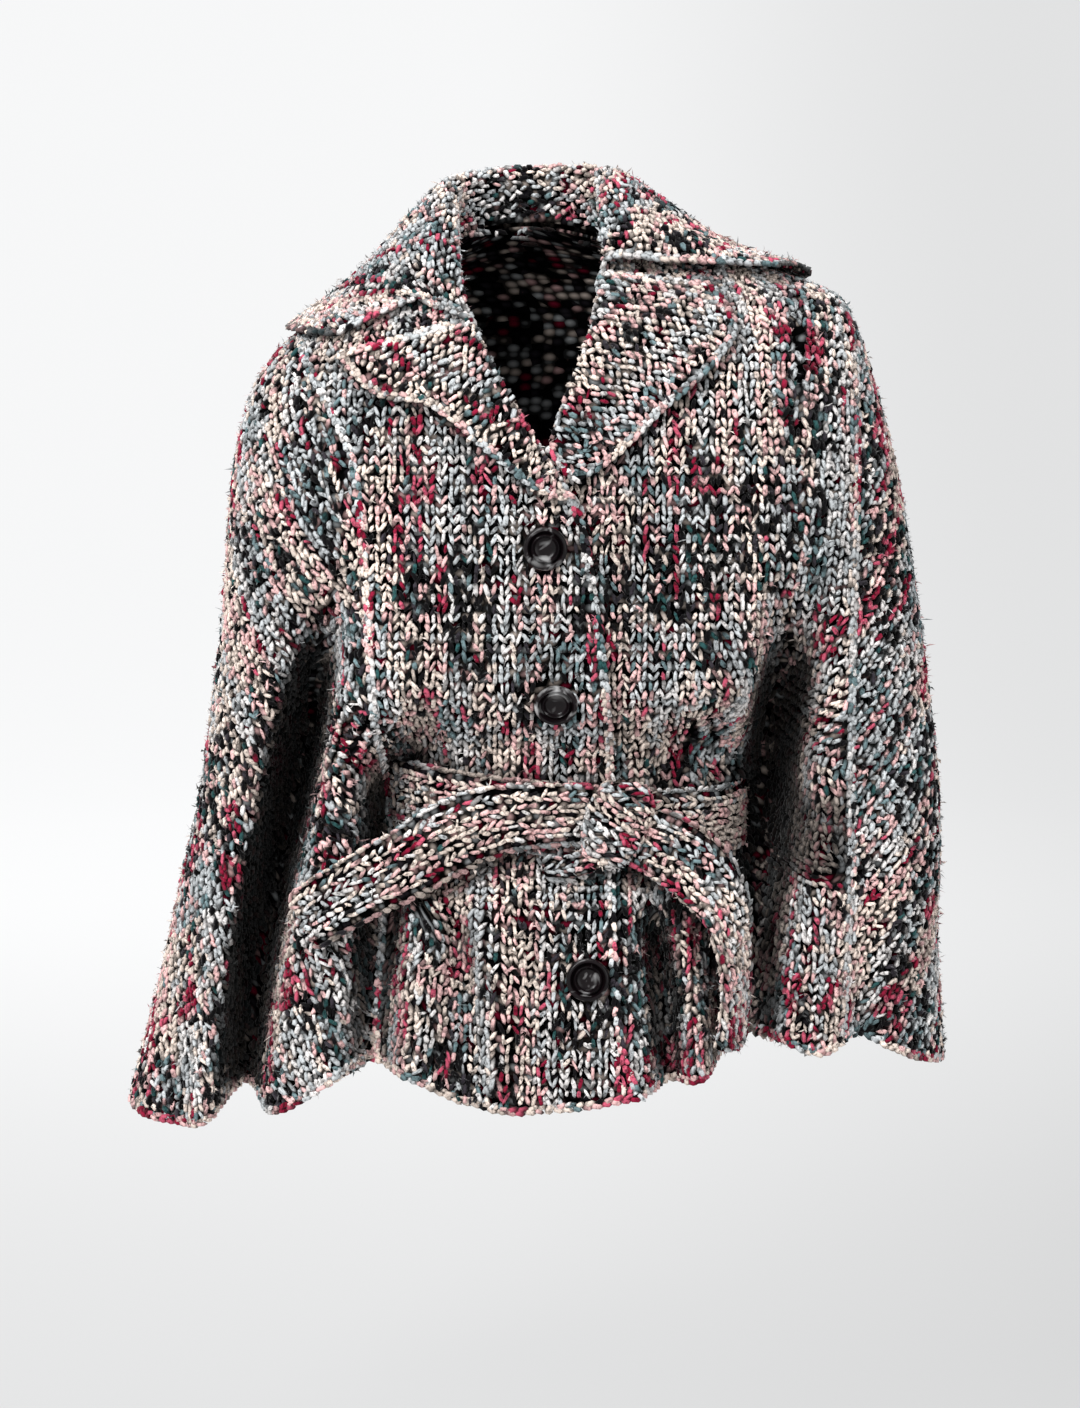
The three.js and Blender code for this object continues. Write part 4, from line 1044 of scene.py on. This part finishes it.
left_front_seam = seam("left_front", 1, "front", -1)
left_front, left_front_face = ground("left_front", band_seam(1), left_front_seam, 68)
deep_line = before(at_bottom(FOLD_AT_LEFT_WING), left_front_seam)
left_front_loops = knit("left_front_loops", [
    (knit_zone(band_seam(1), at_bottom(FLARE_1), 0.0), 0),
    (knit_zone(at_bottom(FLARE_1), at_bottom(FLARE_2), None), 0),
    (knit_zone(at_bottom(FLARE_2), deep_line, None), 0),
    (knit_zone(deep_line, left_front_seam, None), -8)], 23, parts=2, beside=by_laid_cloth)
left_front_loops.append(panel_edges("left_front_edge", left_front_face, [
    ("hem", 25, 0.1), (-1, 26, 0.35)]))
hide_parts("front_left")

# ---- The wings ------------------------------------------------------------------------------
# One wing hangs over each arm from a point on the shoulder. Each is cut on the slant, so that
# its wales run down across the arm, and it is seamed to the front and to the back.

SIDE_TURN = math.pi / 2
RIGHT_WING_SLANT, LEFT_WING_SLANT = 37, -47
right_wing_back = seam("right_back", -1, "back", 1)
right_wing_front = seam("right_front", -1, "front", -1)
right_wing, right_wing_face = ground("right_wing", right_wing_back, right_wing_front, 100, top=APEX)
right_wing_fold = before(at_bottom(FOLD_AT_RIGHT_WING), right_wing_front)
right_wing_loops = knit("right_wing_loops", [
    (knit_zone(right_wing_back, right_wing_fold, -SIDE_TURN, top=APEX, plumb=True),
     RIGHT_WING_SLANT),
    (knit_zone(right_wing_fold, right_wing_front, None, top=APEX), RIGHT_WING_SLANT - 8)],
    37, -0.07, parts=2)
right_wing_loops.append(panel_edges("right_wing_edge", right_wing_face, [
    ("hem", 38, 0.1), (-1, 39, 0.2)]))
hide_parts("wing_right")

left_wing_front = seam("left_front", 1, "front", 1)
left_wing_back = seam("left_back", 1, "back", -1)
left_wing, left_wing_face = ground("left_wing", left_wing_front, left_wing_back, 50, top=APEX)
left_wing_loops = knit("left_wing_loops", [
    (knit_zone(left_wing_front, left_wing_back, SIDE_TURN, top=APEX, plumb=True),
     LEFT_WING_SLANT)], 41, -0.07)
left_wing_loops.append(panel_edges("left_wing_edge", left_wing_face, [("hem", 42, 0.1)]))
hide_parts("wing_left")

# ---- The back -------------------------------------------------------------------------------
# One piece from the neck to the hem, cut with straight wales. It hangs in seven soft troughs
# that run to the hem, each of its own depth.


def back_right(level):
    return ring_at(level)["length"] + seam_cloth(level, "right_back", -1, "back") - SEAM / 2


back_left = seam("left_back", 1, "back", 1)
back, back_face = ground("back_panel", back_left, back_right, 72)
back_loops = knit("back_loops", [(knit_zone(back_left, back_right, math.pi), 0)], 53, parts=2)
back_loops.append(panel_edges("back_edge", back_face, [
    ("hem", 54, 0.1), (0, 55, 0.2), (-1, 56, 0.2)]))
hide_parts("back")

# ---- The lapels -----------------------------------------------------------------------------
# The top of each front turned back on itself at the roll line, so that the cloth shows its other
# side: rounded purl bumps, with the wales slanting off the roll, and a slipped stitch edge.

ROLL_RADIUS, ROLL_CLEAR, ROLL_STEPS = 5.5, 1.2, 8
LAPEL_LIFT = 2 * ROLL_RADIUS - WALL
LAPEL_ROWS, LAPEL_COLUMNS, LAPEL_SLANT = 48, 26, 28
PROBE = 4.0  # how far to each side of a place the slope of the front is measured


def spot(level, cloth):
    """A place on the cloth's outer face and the direction out of the cloth there."""
    ring, up, down = map(ring_at, (level, max(level - 0.006, 0), min(level + 0.006, 1)))
    along = on_ring(ring, cloth + 5) - on_ring(ring, cloth - 5)
    fall = (on_ring(down, cloth * down["length"] / ring["length"])
            - on_ring(up, cloth * up["length"] / ring["length"]))
    return on_ring(ring, cloth), unit(np.cross(fall, along))


front_skin = skin(ZONE_LEVELS[ZONE_LEVELS < 0.95], lambda ring: np.linspace(
    side_cloth(ring, -1), side_cloth(ring, 1), 161))


def front_depth(x, z, otherwise=None):
    place = front_skin.ray_cast((x, -600, z), (0, 1, 0))[0]
    return place.y if place is not None else otherwise


def front_spot(x, z):
    """The place on the front at x and z, and the smoothed direction out of it."""
    y = front_depth(x, z)
    if y is None:
        place, out = map(np.array, front_skin.find_nearest((x, -120, z))[:2])
        return place, out if out[1] < 0 else -out
    slope_x, slope_z = ((front_depth(x + dx, z + dz, y) - front_depth(x - dx, z - dz, y))
                        / (2 * PROBE) for dx, dz in ((PROBE, 0), (0, PROBE)))
    return np.array([x, y, z]), unit(np.array([slope_x, -1.0, slope_z]))


def along_table(rows, along, columns):
    """Columns of a table, read by smooth curves at a share of the way down it."""
    share = np.linspace(0, 1, len(rows))
    return [smooth_curve(share, rows[:, n], along) for n in columns]


def lapel_grid(edge, column, lift):
    """The lapel's outer face and its way out, from its lower end to its top, roll first."""
    grid, outs = [], []
    for along in np.linspace(0, 1, LAPEL_ROWS):
        level, edge_x, edge_z = map(float, along_table(edge, along, range(3)))
        point, out = spot(level, opening_cloth(level, column))
        wide, high = edge_x - point[0], edge_z - point[2]
        into = front_spot(point[0] + wide * 0.1, point[2] + high * 0.1)[0] - point
        into = unit(into - out * into.dot(out))
        centre = (point + out * float(lift(point[0])) - into * ROLL_CLEAR
                  + out * (ROLL_RADIUS - WALL))
        turn = (-math.pi / 2 - math.pi * np.arange(ROLL_STEPS + 1) / ROLL_STEPS)[:, None]
        ways = list(into * np.cos(turn) + out * np.sin(turn))
        row = [centre + way * ROLL_RADIUS for way in ways]
        for part in np.linspace(min(0.5, 5 / math.hypot(wide, high)), 1, LAPEL_COLUMNS):
            x = point[0] + wide * part
            place, way = front_spot(x, point[2] + high * part)
            row.append(place + way * (float(lift(x)) + LAPEL_LIFT))
            ways.append(way)
        grid.append(row)
        outs.append(ways)
    return np.array(grid), np.array(outs)


def smooth_grid(grid):
    """The same grid with small unevenness between its rows smoothed away, ends kept."""
    for _ in range(2):
        inner = (grid[:-2] + 2 * grid[1:-1] + grid[2:]) / 4
        grid = np.concatenate([grid[:1], inner, grid[-1:]])
    return grid


def flat_zone(grid, across=None):
    """Any grid of places laid out flat by its own distances across and down."""
    across = reaches(grid, 1) if across is None else across
    down = reaches(grid, 0)
    middle = len(grid) // 2
    return resampled(grid, across, down - down[middle] + down[middle].mean())


def purls(place, across, down, draw):
    """The two rounded bumps of every purl stitch."""
    a, d, out = frames(place, across, down)
    count = len(place)
    centres, ways, sizes = [], [], []
    for side in (-1, 1):
        turn = draw.normal(0.25 * side, 0.4, (count, 1))
        ways.append(unit(a * np.cos(turn) + d * np.sin(turn)
                         + out * draw.normal(0, 0.12, (count, 1))))
        centre = place + a * side * STITCH_WIDE * 0.25 + d * side * STITCH_TALL * 0.25
        centres.append(centre + a * draw.normal(0, 0.6, (count, 1))
                       + d * draw.normal(0, 0.6, (count, 1))
                       + out * (0.3 + draw.normal(0, 0.5, (count, 1))))
        sizes.append(uneven(draw, count, 0.17, 0.55, 1.5) * (4.3, 1.95, 2.2))
    return grains(centres, ways, [out, out], sizes)


def free_edges(grid, outs, seed, ends=(0, -1)):
    """Edge chains down the outer edge of a turned-back piece and across its two ends."""
    lines = [(grid[:, -1], outs[:, -1])] + [(grid[end], outs[end]) for end in ends]
    return [edge_chain(*line, seed + n, 0.3) for n, line in enumerate(lines)]


def lapel(name, edge, column, lift, turned, seed):
    """A lapel and its loops. turned takes its rows from the top, to keep its face outwards."""
    grid, outs = lapel_grid(edge, column, lift)
    slant, ends = LAPEL_SLANT, (0, -1)
    if turned:
        grid, outs, slant, ends = grid[::-1], outs[::-1], -slant, (-1, 0)
    grid, outs = smooth_grid(grid), unit(smooth_grid(outs))
    cloth = shell(name, grid, outs)
    loops = knit(name + "_loops", [(flat_zone(grid), slant)], seed, -0.05, stitch=purls,
                 panel=False)
    return cloth, loops + [chain_mesh(name + "_edge", free_edges(grid, outs, seed + 1, ends))]


right_lapel, right_lapel_loops = lapel("right_lapel", LAPEL_RIGHT, "over", overlap_lift, False, 61)
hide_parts("lapel_right")
left_lapel, left_lapel_loops = lapel("left_lapel", LAPEL_LEFT, "under", lambda x: 0.0, True, 67)
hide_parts("lapel_left")

# ---- The collar -----------------------------------------------------------------------------
# A knitted strip picked up round the neck edge. It stands up against the neck, rolls over and
# falls on the shoulders to a point on each side, where it meets the lapel in a notch.

COLLAR = np.array([
    # seat, its level, roll x, y, z, fall, its level, loft, rise
    [-22, 0.108, -48, -100, -60, -53, 0.157, 3, 2], [-37, 0.055, -58, -66, -20, -73, 0.163, 6, 2],
    [-68, 0.0, -65, -14, 30, -98, 0.164, 8, 2], [-130, 0.0, -52, 38, 48, -138, 0.176, 6, 3],
    [-180, 0.0, 0, 62, 54, -180, 0.19, 7, 3], [-230, 0.0, 52, 38, 53, -222, 0.168, 8, 3],
    [-292, 0.0, 65, -14, 41, -261, 0.142, 9, 3], [-311, 0.02, 66, -42, 13, -277, 0.13, 13, 4],
    [-326, 0.05, 62, -68, -15, -290, 0.128, 9, 8]])
COLLAR_SEAT, COLLAR_ROWS, COLLAR_COLUMNS, CURVE_STEPS = 2.6, 150, 34, 160
COLLAR_EDGE_SHADE = 0.22  # painted shade: the lower edge chain's colour is darkened to this share


def turn_spot(level, degrees):
    """The place and way out on the ring at a direction round the wearer, 0 at the front."""
    turn = math.radians((degrees + 180) % 360 - 180)
    return spot(level, cloth_of(ring_at(level), turn))


def rounded_path(corners, shares):
    """Places at shares of the length of a smooth curve through four corners."""
    c = np.array([2 * corners[0] - corners[1], *corners, 2 * corners[-1] - corners[-2]])
    points = []
    for p0, p1, p2, p3 in zip(c, c[1:], c[2:], c[3:]):
        d0, d1, d2 = (max(float(np.linalg.norm(b - a)) ** 0.5, 1e-4)
                      for a, b in ((p0, p1), (p1, p2), (p2, p3)))
        m1 = ((p1 - p0) / d0 - (p2 - p0) / (d0 + d1) + (p2 - p1) / d1) * d1
        m2 = ((p2 - p1) / d1 - (p3 - p1) / (d1 + d2) + (p3 - p2) / d2) * d1
        t = (np.arange(CURVE_STEPS) / CURVE_STEPS)[:, None]
        points.append(p1 + m1 * t + (-3 * p1 + 3 * p2 - 2 * m1 - m2) * t**2
                      + (2 * p1 - 2 * p2 + m1 + m2) * t**3)
    line = np.vstack([*points, c[-2:-1]])
    reach = reaches(line)
    return read_line(shares * reach[-1], reach, line)


def collar_grid():
    """The collar's outer face: rows from one notch round the neck to the other."""
    grid = []
    for along in np.linspace(0, 1, COLLAR_ROWS):
        seat, seat_level, x, y, z, fall, fall_level, loft, rise = map(
            float, along_table(COLLAR, along, range(9)))
        path = [place + out * lift for (place, out), lift in (
            (turn_spot(seat_level, seat), COLLAR_SEAT),
            (turn_spot(fall_level * 0.58, (seat + fall) / 2), WALL + loft),
            (turn_spot(fall_level, fall), WALL + rise))]
        path.insert(1, np.array([x, y, z]))
        grid.append(rounded_path(path, np.linspace(0, 1, COLLAR_COLUMNS)))
    grid = np.array(grid)
    return grid + grid_normals(grid) * WALL


collar_face = collar_grid()
collar_out = grid_normals(collar_face)
collar = shell("collar_band", collar_face, collar_out)
collar_loops = knit("collar_loops", [(flat_zone(collar_face), 90)], 71, -0.1, stitch=purls,
                    panel=False)
collar_edges = free_edges(collar_face, collar_out, 72)
# Painted shade along the collar's lower edge, darkening its edge chain's colour.
collar_edges[0][-1][:] *= COLLAR_EDGE_SHADE
collar_chain = chain_mesh("collar_edge", collar_edges)
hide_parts("collar")

# ---- The belt -------------------------------------------------------------------------------
# A long knitted tube, pressed flat. It goes round the waist under the wings, through a slit at
# each side seam of the fronts, and ties in front with one end to each side.

TUBE_SUNK = 0.9  # the ground of a tube lies this far under the solid's face
TUBE_COLUMNS, BELT_STEPS = 28, 150
LAID_ROUND, LAID_ROW = 0.12, 0.005  # the ground's pattern: once round a tube, and for each row
WALE_EDGE = 0.001  # keeps the last wale round a tube from lying on the first


def evened(loop, columns):
    reach = reaches(loop)
    return read_line(np.linspace(0, reach[-1], columns + 1), reach, loop)


def rounded(values, power):
    return np.sign(values) * np.abs(values) ** power


def band_rows(middles, widths_way, faces_way, wide):
    """Sections of a flattened tube, each from one edge across its face and back underneath."""
    turn = 2 * math.pi * (np.arange(TUBE_COLUMNS + 1) / TUBE_COLUMNS)
    u, v = rounded(np.cos(turn), 0.42)[:, None], rounded(np.sin(turn), 0.62)[:, None]
    return np.array([
        evened(middle + (w - 2 * TUBE_SUNK) / 2 * u * w_way
               + (BELT_THICK - 2 * TUBE_SUNK) / 2 * v * f_way, TUBE_COLUMNS)
        for middle, w_way, f_way, w in zip(middles, widths_way, faces_way, wide)])


def looks_out(rows):
    """Whether the face of rows round a tube looks away from its middle."""
    return (grid_normals(rows) * (rows - rows[:, :-1].mean(1, keepdims=True))).sum() > 0


def tube_knit(name, rows, seed):
    """The loops on a tube, with a whole number of wales round it."""
    rows = rows if looks_out(rows) else rows[:, ::-1]
    wales = max(3, round(reaches(rows, 1)[:, -1].mean() / STITCH_WIDE))
    across = np.tile(np.linspace(0, wales, rows.shape[1]) * STITCH_WIDE, (len(rows), 1))
    return knit(name, [(flat_zone(rows, across - WALE_EDGE), 0)], seed, 0.2, panel=False)


def tube(name, rows, closed=False):
    """A closed skin over rows of sections, with domed ends unless it joins itself."""
    out, rows = looks_out(rows), rows[:, :-1]

    def dome(row, beyond):
        middle = row.mean(0)
        way = unit(middle - beyond.mean(0))
        return [middle + (row - middle) * k + way * d for k, d in ((0.02, 2.4), (0.6, 2.0))]

    if not closed:
        rows = np.array([*dome(rows[0], rows[1]), *rows, *dome(rows[-1], rows[-2])[::-1]])
    count, sides = rows.shape[:2]
    index = numbered(count, sides, around=True)
    caps = [np.array([index[0, :-1][::-1], index[-1, :-1]])]
    if closed:
        index, caps = np.vstack([index, index[:1]]), []
    faces = [quads(index.T), *caps]
    if out:
        faces = [some[:, ::-1] for some in faces]
    laid = np.meshgrid(np.linspace(0, 1, sides) * LAID_ROUND, np.arange(count) * LAID_ROW)
    return knit_piece(name, rows, faces, ground_material, uv=np.stack(laid, -1).reshape(-1, 2))


def belt_plan(turn):
    """The belt's middle line at a turn round the wearer."""
    s, c = np.sin(turn), np.cos(turn)
    x = BELT["x"] + BELT["side"] * rounded(s, 2 / BELT["square"])
    y = -np.where(c > 0, BELT["front"], BELT["back"]) * rounded(c, 2 / BELT["square"])
    return np.stack([x, y, belt_height(x)], -1)


def belt_rows():
    turns = np.linspace(0, 2 * math.pi, 2881)
    reach = reaches(belt_plan(turns))
    turns = np.interp(np.linspace(0, reach[-1], BELT_STEPS + 1), reach, turns)
    along = belt_plan(turns + 0.02) - belt_plan(turns - 0.02)
    face = unit(np.cross(along, [0.0, 0.0, 1.0]))
    return band_rows(belt_plan(turns), unit(np.cross(face, along)), face,
                     BELT_WIDE * np.ones(len(turns)))


loop_rows = belt_rows()
belt_loop = tube("belt_loop_ground", loop_rows[:-1], closed=True)
belt_loops = tube_knit("belt_loop_loops", loop_rows, 83)
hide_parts("belt_loop")

# ---- The belt's ends ------------------------------------------------------------------------
# The two loose ends lie over the front: one crosses it and slants down to the wearer's right, the
# other turns down beside the left wing and shows its edge.


def end_rows(line, steps):
    """Sections of the belt along a table of x, y, z, lean and width."""
    along = np.linspace(0, 1, steps)
    ahead, middle, behind = (np.stack(along_table(line, at, range(3)), -1) for at in (
        np.minimum(along + 0.02, 1), along, np.maximum(along - 0.02, 0)))
    lean, wide = along_table(line, along, (3, 4))
    way, lean = unit(ahead - behind), np.radians(lean)[:, None]
    front = unit(np.array([0.0, -1.0, 0.0]) + way * way[:, 1:2])
    face = front * np.cos(lean) + unit(np.cross(front, way)) * np.sin(lean)
    return band_rows(middle, unit(np.cross(face, way)), face, wide)


left_rows = end_rows(END_LEFT, 48)
belt_end_left = tube("belt_end_left_ground", left_rows)
left_end_loops = tube_knit("belt_end_left_loops", left_rows, 89)
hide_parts("belt_end_left")
right_rows = end_rows(END_RIGHT, 56)
belt_end_right = tube("belt_end_right_ground", right_rows)
right_end_loops = tube_knit("belt_end_right_loops", right_rows, 97)
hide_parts("belt_end_right")

# ---- The knot -------------------------------------------------------------------------------
# The belt drawn once over itself: a plump turn of the tube with its wales slanting across, and
# a short tongue of it turned out at its foot.

KNOT = dict(x=66, z=-440, half_x=25, half_y=13, half_z=33, tip=7, sunk=3)
KNOT_ROWS, KNOT_COLUMNS, KNOT_SHRINK, KNOT_SLANT = 34, 48, 1.2, 58
TONGUE = np.array([[58, -134, -462, 0, 20], [34, -132, -472, 0, 19], [12, -129, -474, 0, 15]])


def knot_rows():
    """The knot as rows from its top to its foot, each a loop round it that begins behind."""
    back = (float(belt_front(KNOT["x"] - KNOT["half_x"] - KNOT["tip"])) - BELT_THICK / 2
            + KNOT["sunk"])
    turn = math.pi / 2 + 2 * math.pi * np.arange(181) / 180
    grid = []
    for high in np.linspace(0.97, -0.97, KNOT_ROWS):
        ring = (1 - abs(high) ** (2 / 0.62)) ** 0.31
        x, y = rounded(np.cos(turn), 0.62) * ring, rounded(np.sin(turn), 0.62) * ring
        crease = 3.4 * np.exp(-(((x * 0.8 + high * 0.9) / 0.22) ** 2)) * (y < 0)
        width = (KNOT["half_x"] - KNOT_SHRINK) * (1 - 0.12 * high**2 + 0.1 * high)
        grid.append(evened(np.stack([
            KNOT["x"] + x * width + KNOT["tip"] * high,
            back - (KNOT["half_y"] - KNOT_SHRINK) * (1 - y) - KNOT_SHRINK + crease,
            np.full(181, KNOT["z"] + high * (KNOT["half_z"] - KNOT_SHRINK))], 1), KNOT_COLUMNS))
    grid = np.array(grid)
    return grid if looks_out(grid) else grid[:, ::-1]


knot_grid = knot_rows()
knot = tube("knot_ground", knot_grid)
knot_across = reaches(knot_grid, 1)
knot_across -= knot_across[:, -1:] / 2
knot_loops = knit("knot_loops", [(flat_zone(knot_grid, knot_across), KNOT_SLANT)], 101, 0.4,
                  panel=False)
tongue_rows = end_rows(TONGUE, 14)
tongue = tube("tongue_ground", tongue_rows)
tongue_loops = tube_knit("tongue_loops", tongue_rows, 103)
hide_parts("belt_knot")

# ---- The buttons ----------------------------------------------------------------------------
# Three large round buttons of dark swirled horn on the right front, each turned on a lathe: a
# fat rim, a fine inner ring and a dished middle. They are sewn on from behind, by a shank.

BUTTON_STEPS = [  # share of the radius, height
    (0.78, 0.0), (0.9, 0.6), (0.97, 1.8), (1.0, 3.4), (0.99, 4.9), (0.95, 6.1), (0.88, 6.8),
    (0.82, 6.7), (0.78, 5.6), (0.75, 3.6), (0.71, 2.9), (0.67, 3.6), (0.64, 4.9), (0.6, 5.3),
    (0.56, 4.7), (0.53, 2.8), (0.45, 1.6), (0.32, 1.0), (0.16, 0.8)]
BUTTON_SIDES, BUTTON_CREASE, BUTTON_STANDS = 56, math.radians(50), 1.6


def horn():
    """Polished dark horn: brown-black, with slow pale swirls under the gloss."""
    material, add, surface = new_material("swirled_horn")
    swirl = add("TexNoise", {"Vector": add("TexCoord")["Object"], "Scale": 60, "Detail": 2,
                             "Distortion": 1.2})["Fac"]
    tint = add_ramp(add, swirl, [(0.35, from_screen(11, 7, 9)), (0.55, from_screen(18, 10, 13)),
                                 (1.0, (1, 1, 1))])
    surface({"Roughness": 0.28, "Specular IOR Level": 0.22, "Base Color": tint})
    return material


horn_material = horn()


def turned_button(number, x, z, seat):
    bpy.ops.object.select_all(action="DESELECT")
    was_wide, was_high = BUTTON_STEPS[0]
    bpy.ops.mesh.primitive_circle_add(vertices=BUTTON_SIDES, fill_type="NGON",
                                      radius=BUTTON_ACROSS / 2 * MM * was_wide)
    made = bpy.context.object
    made.name = f"button_{number}_horn"
    bpy.ops.object.mode_set(mode="EDIT")
    bpy.ops.mesh.select_mode(type="FACE")
    bpy.ops.mesh.select_all(action="SELECT")
    for wide, high in BUTTON_STEPS[1:]:
        bpy.ops.mesh.extrude_region_move(
            TRANSFORM_OT_translate={"value": (0, 0, (high - was_high) * MM)})
        bpy.ops.transform.resize(value=(wide / was_wide, wide / was_wide, 1))
        was_wide, was_high = wide, high
    bpy.ops.mesh.select_all(action="SELECT")
    bpy.ops.mesh.normals_make_consistent(inside=False)
    bpy.ops.object.mode_set(mode="OBJECT")
    bpy.ops.object.shade_smooth_by_angle(angle=BUTTON_CREASE)
    place, out = front_spot(x, z)
    place = place + out * (float(overlap_lift(x)) + seat + BUTTON_STANDS)
    made.location = (place * MM).tolist()
    made.rotation_euler = facing(out)
    bpy.ops.object.transform_apply(location=True, rotation=True, scale=True)
    made.data.materials.append(horn_material)
    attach(made, "root")
    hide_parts(f"button_{number}")


for number, (x, z, seat) in enumerate(BUTTON_PLACES, 1):
    turned_button(number, x, z, seat)

# ---- The size and the end -------------------------------------------------------------------
# The box round the dressed cape's shown meshes.

bpy.context.view_layer.update()
low, high = [math.inf] * 3, [-math.inf] * 3
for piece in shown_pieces():
    if piece.type != "MESH":
        continue
    count = len(piece.data.vertices)
    places = np.empty(count * 3, np.float32)
    piece.data.vertices.foreach_get("co", places)
    places = places.reshape(-1, 3)
    low = np.minimum(low, places.min(0)).tolist()
    high = np.maximum(high, places.max(0)).tolist()
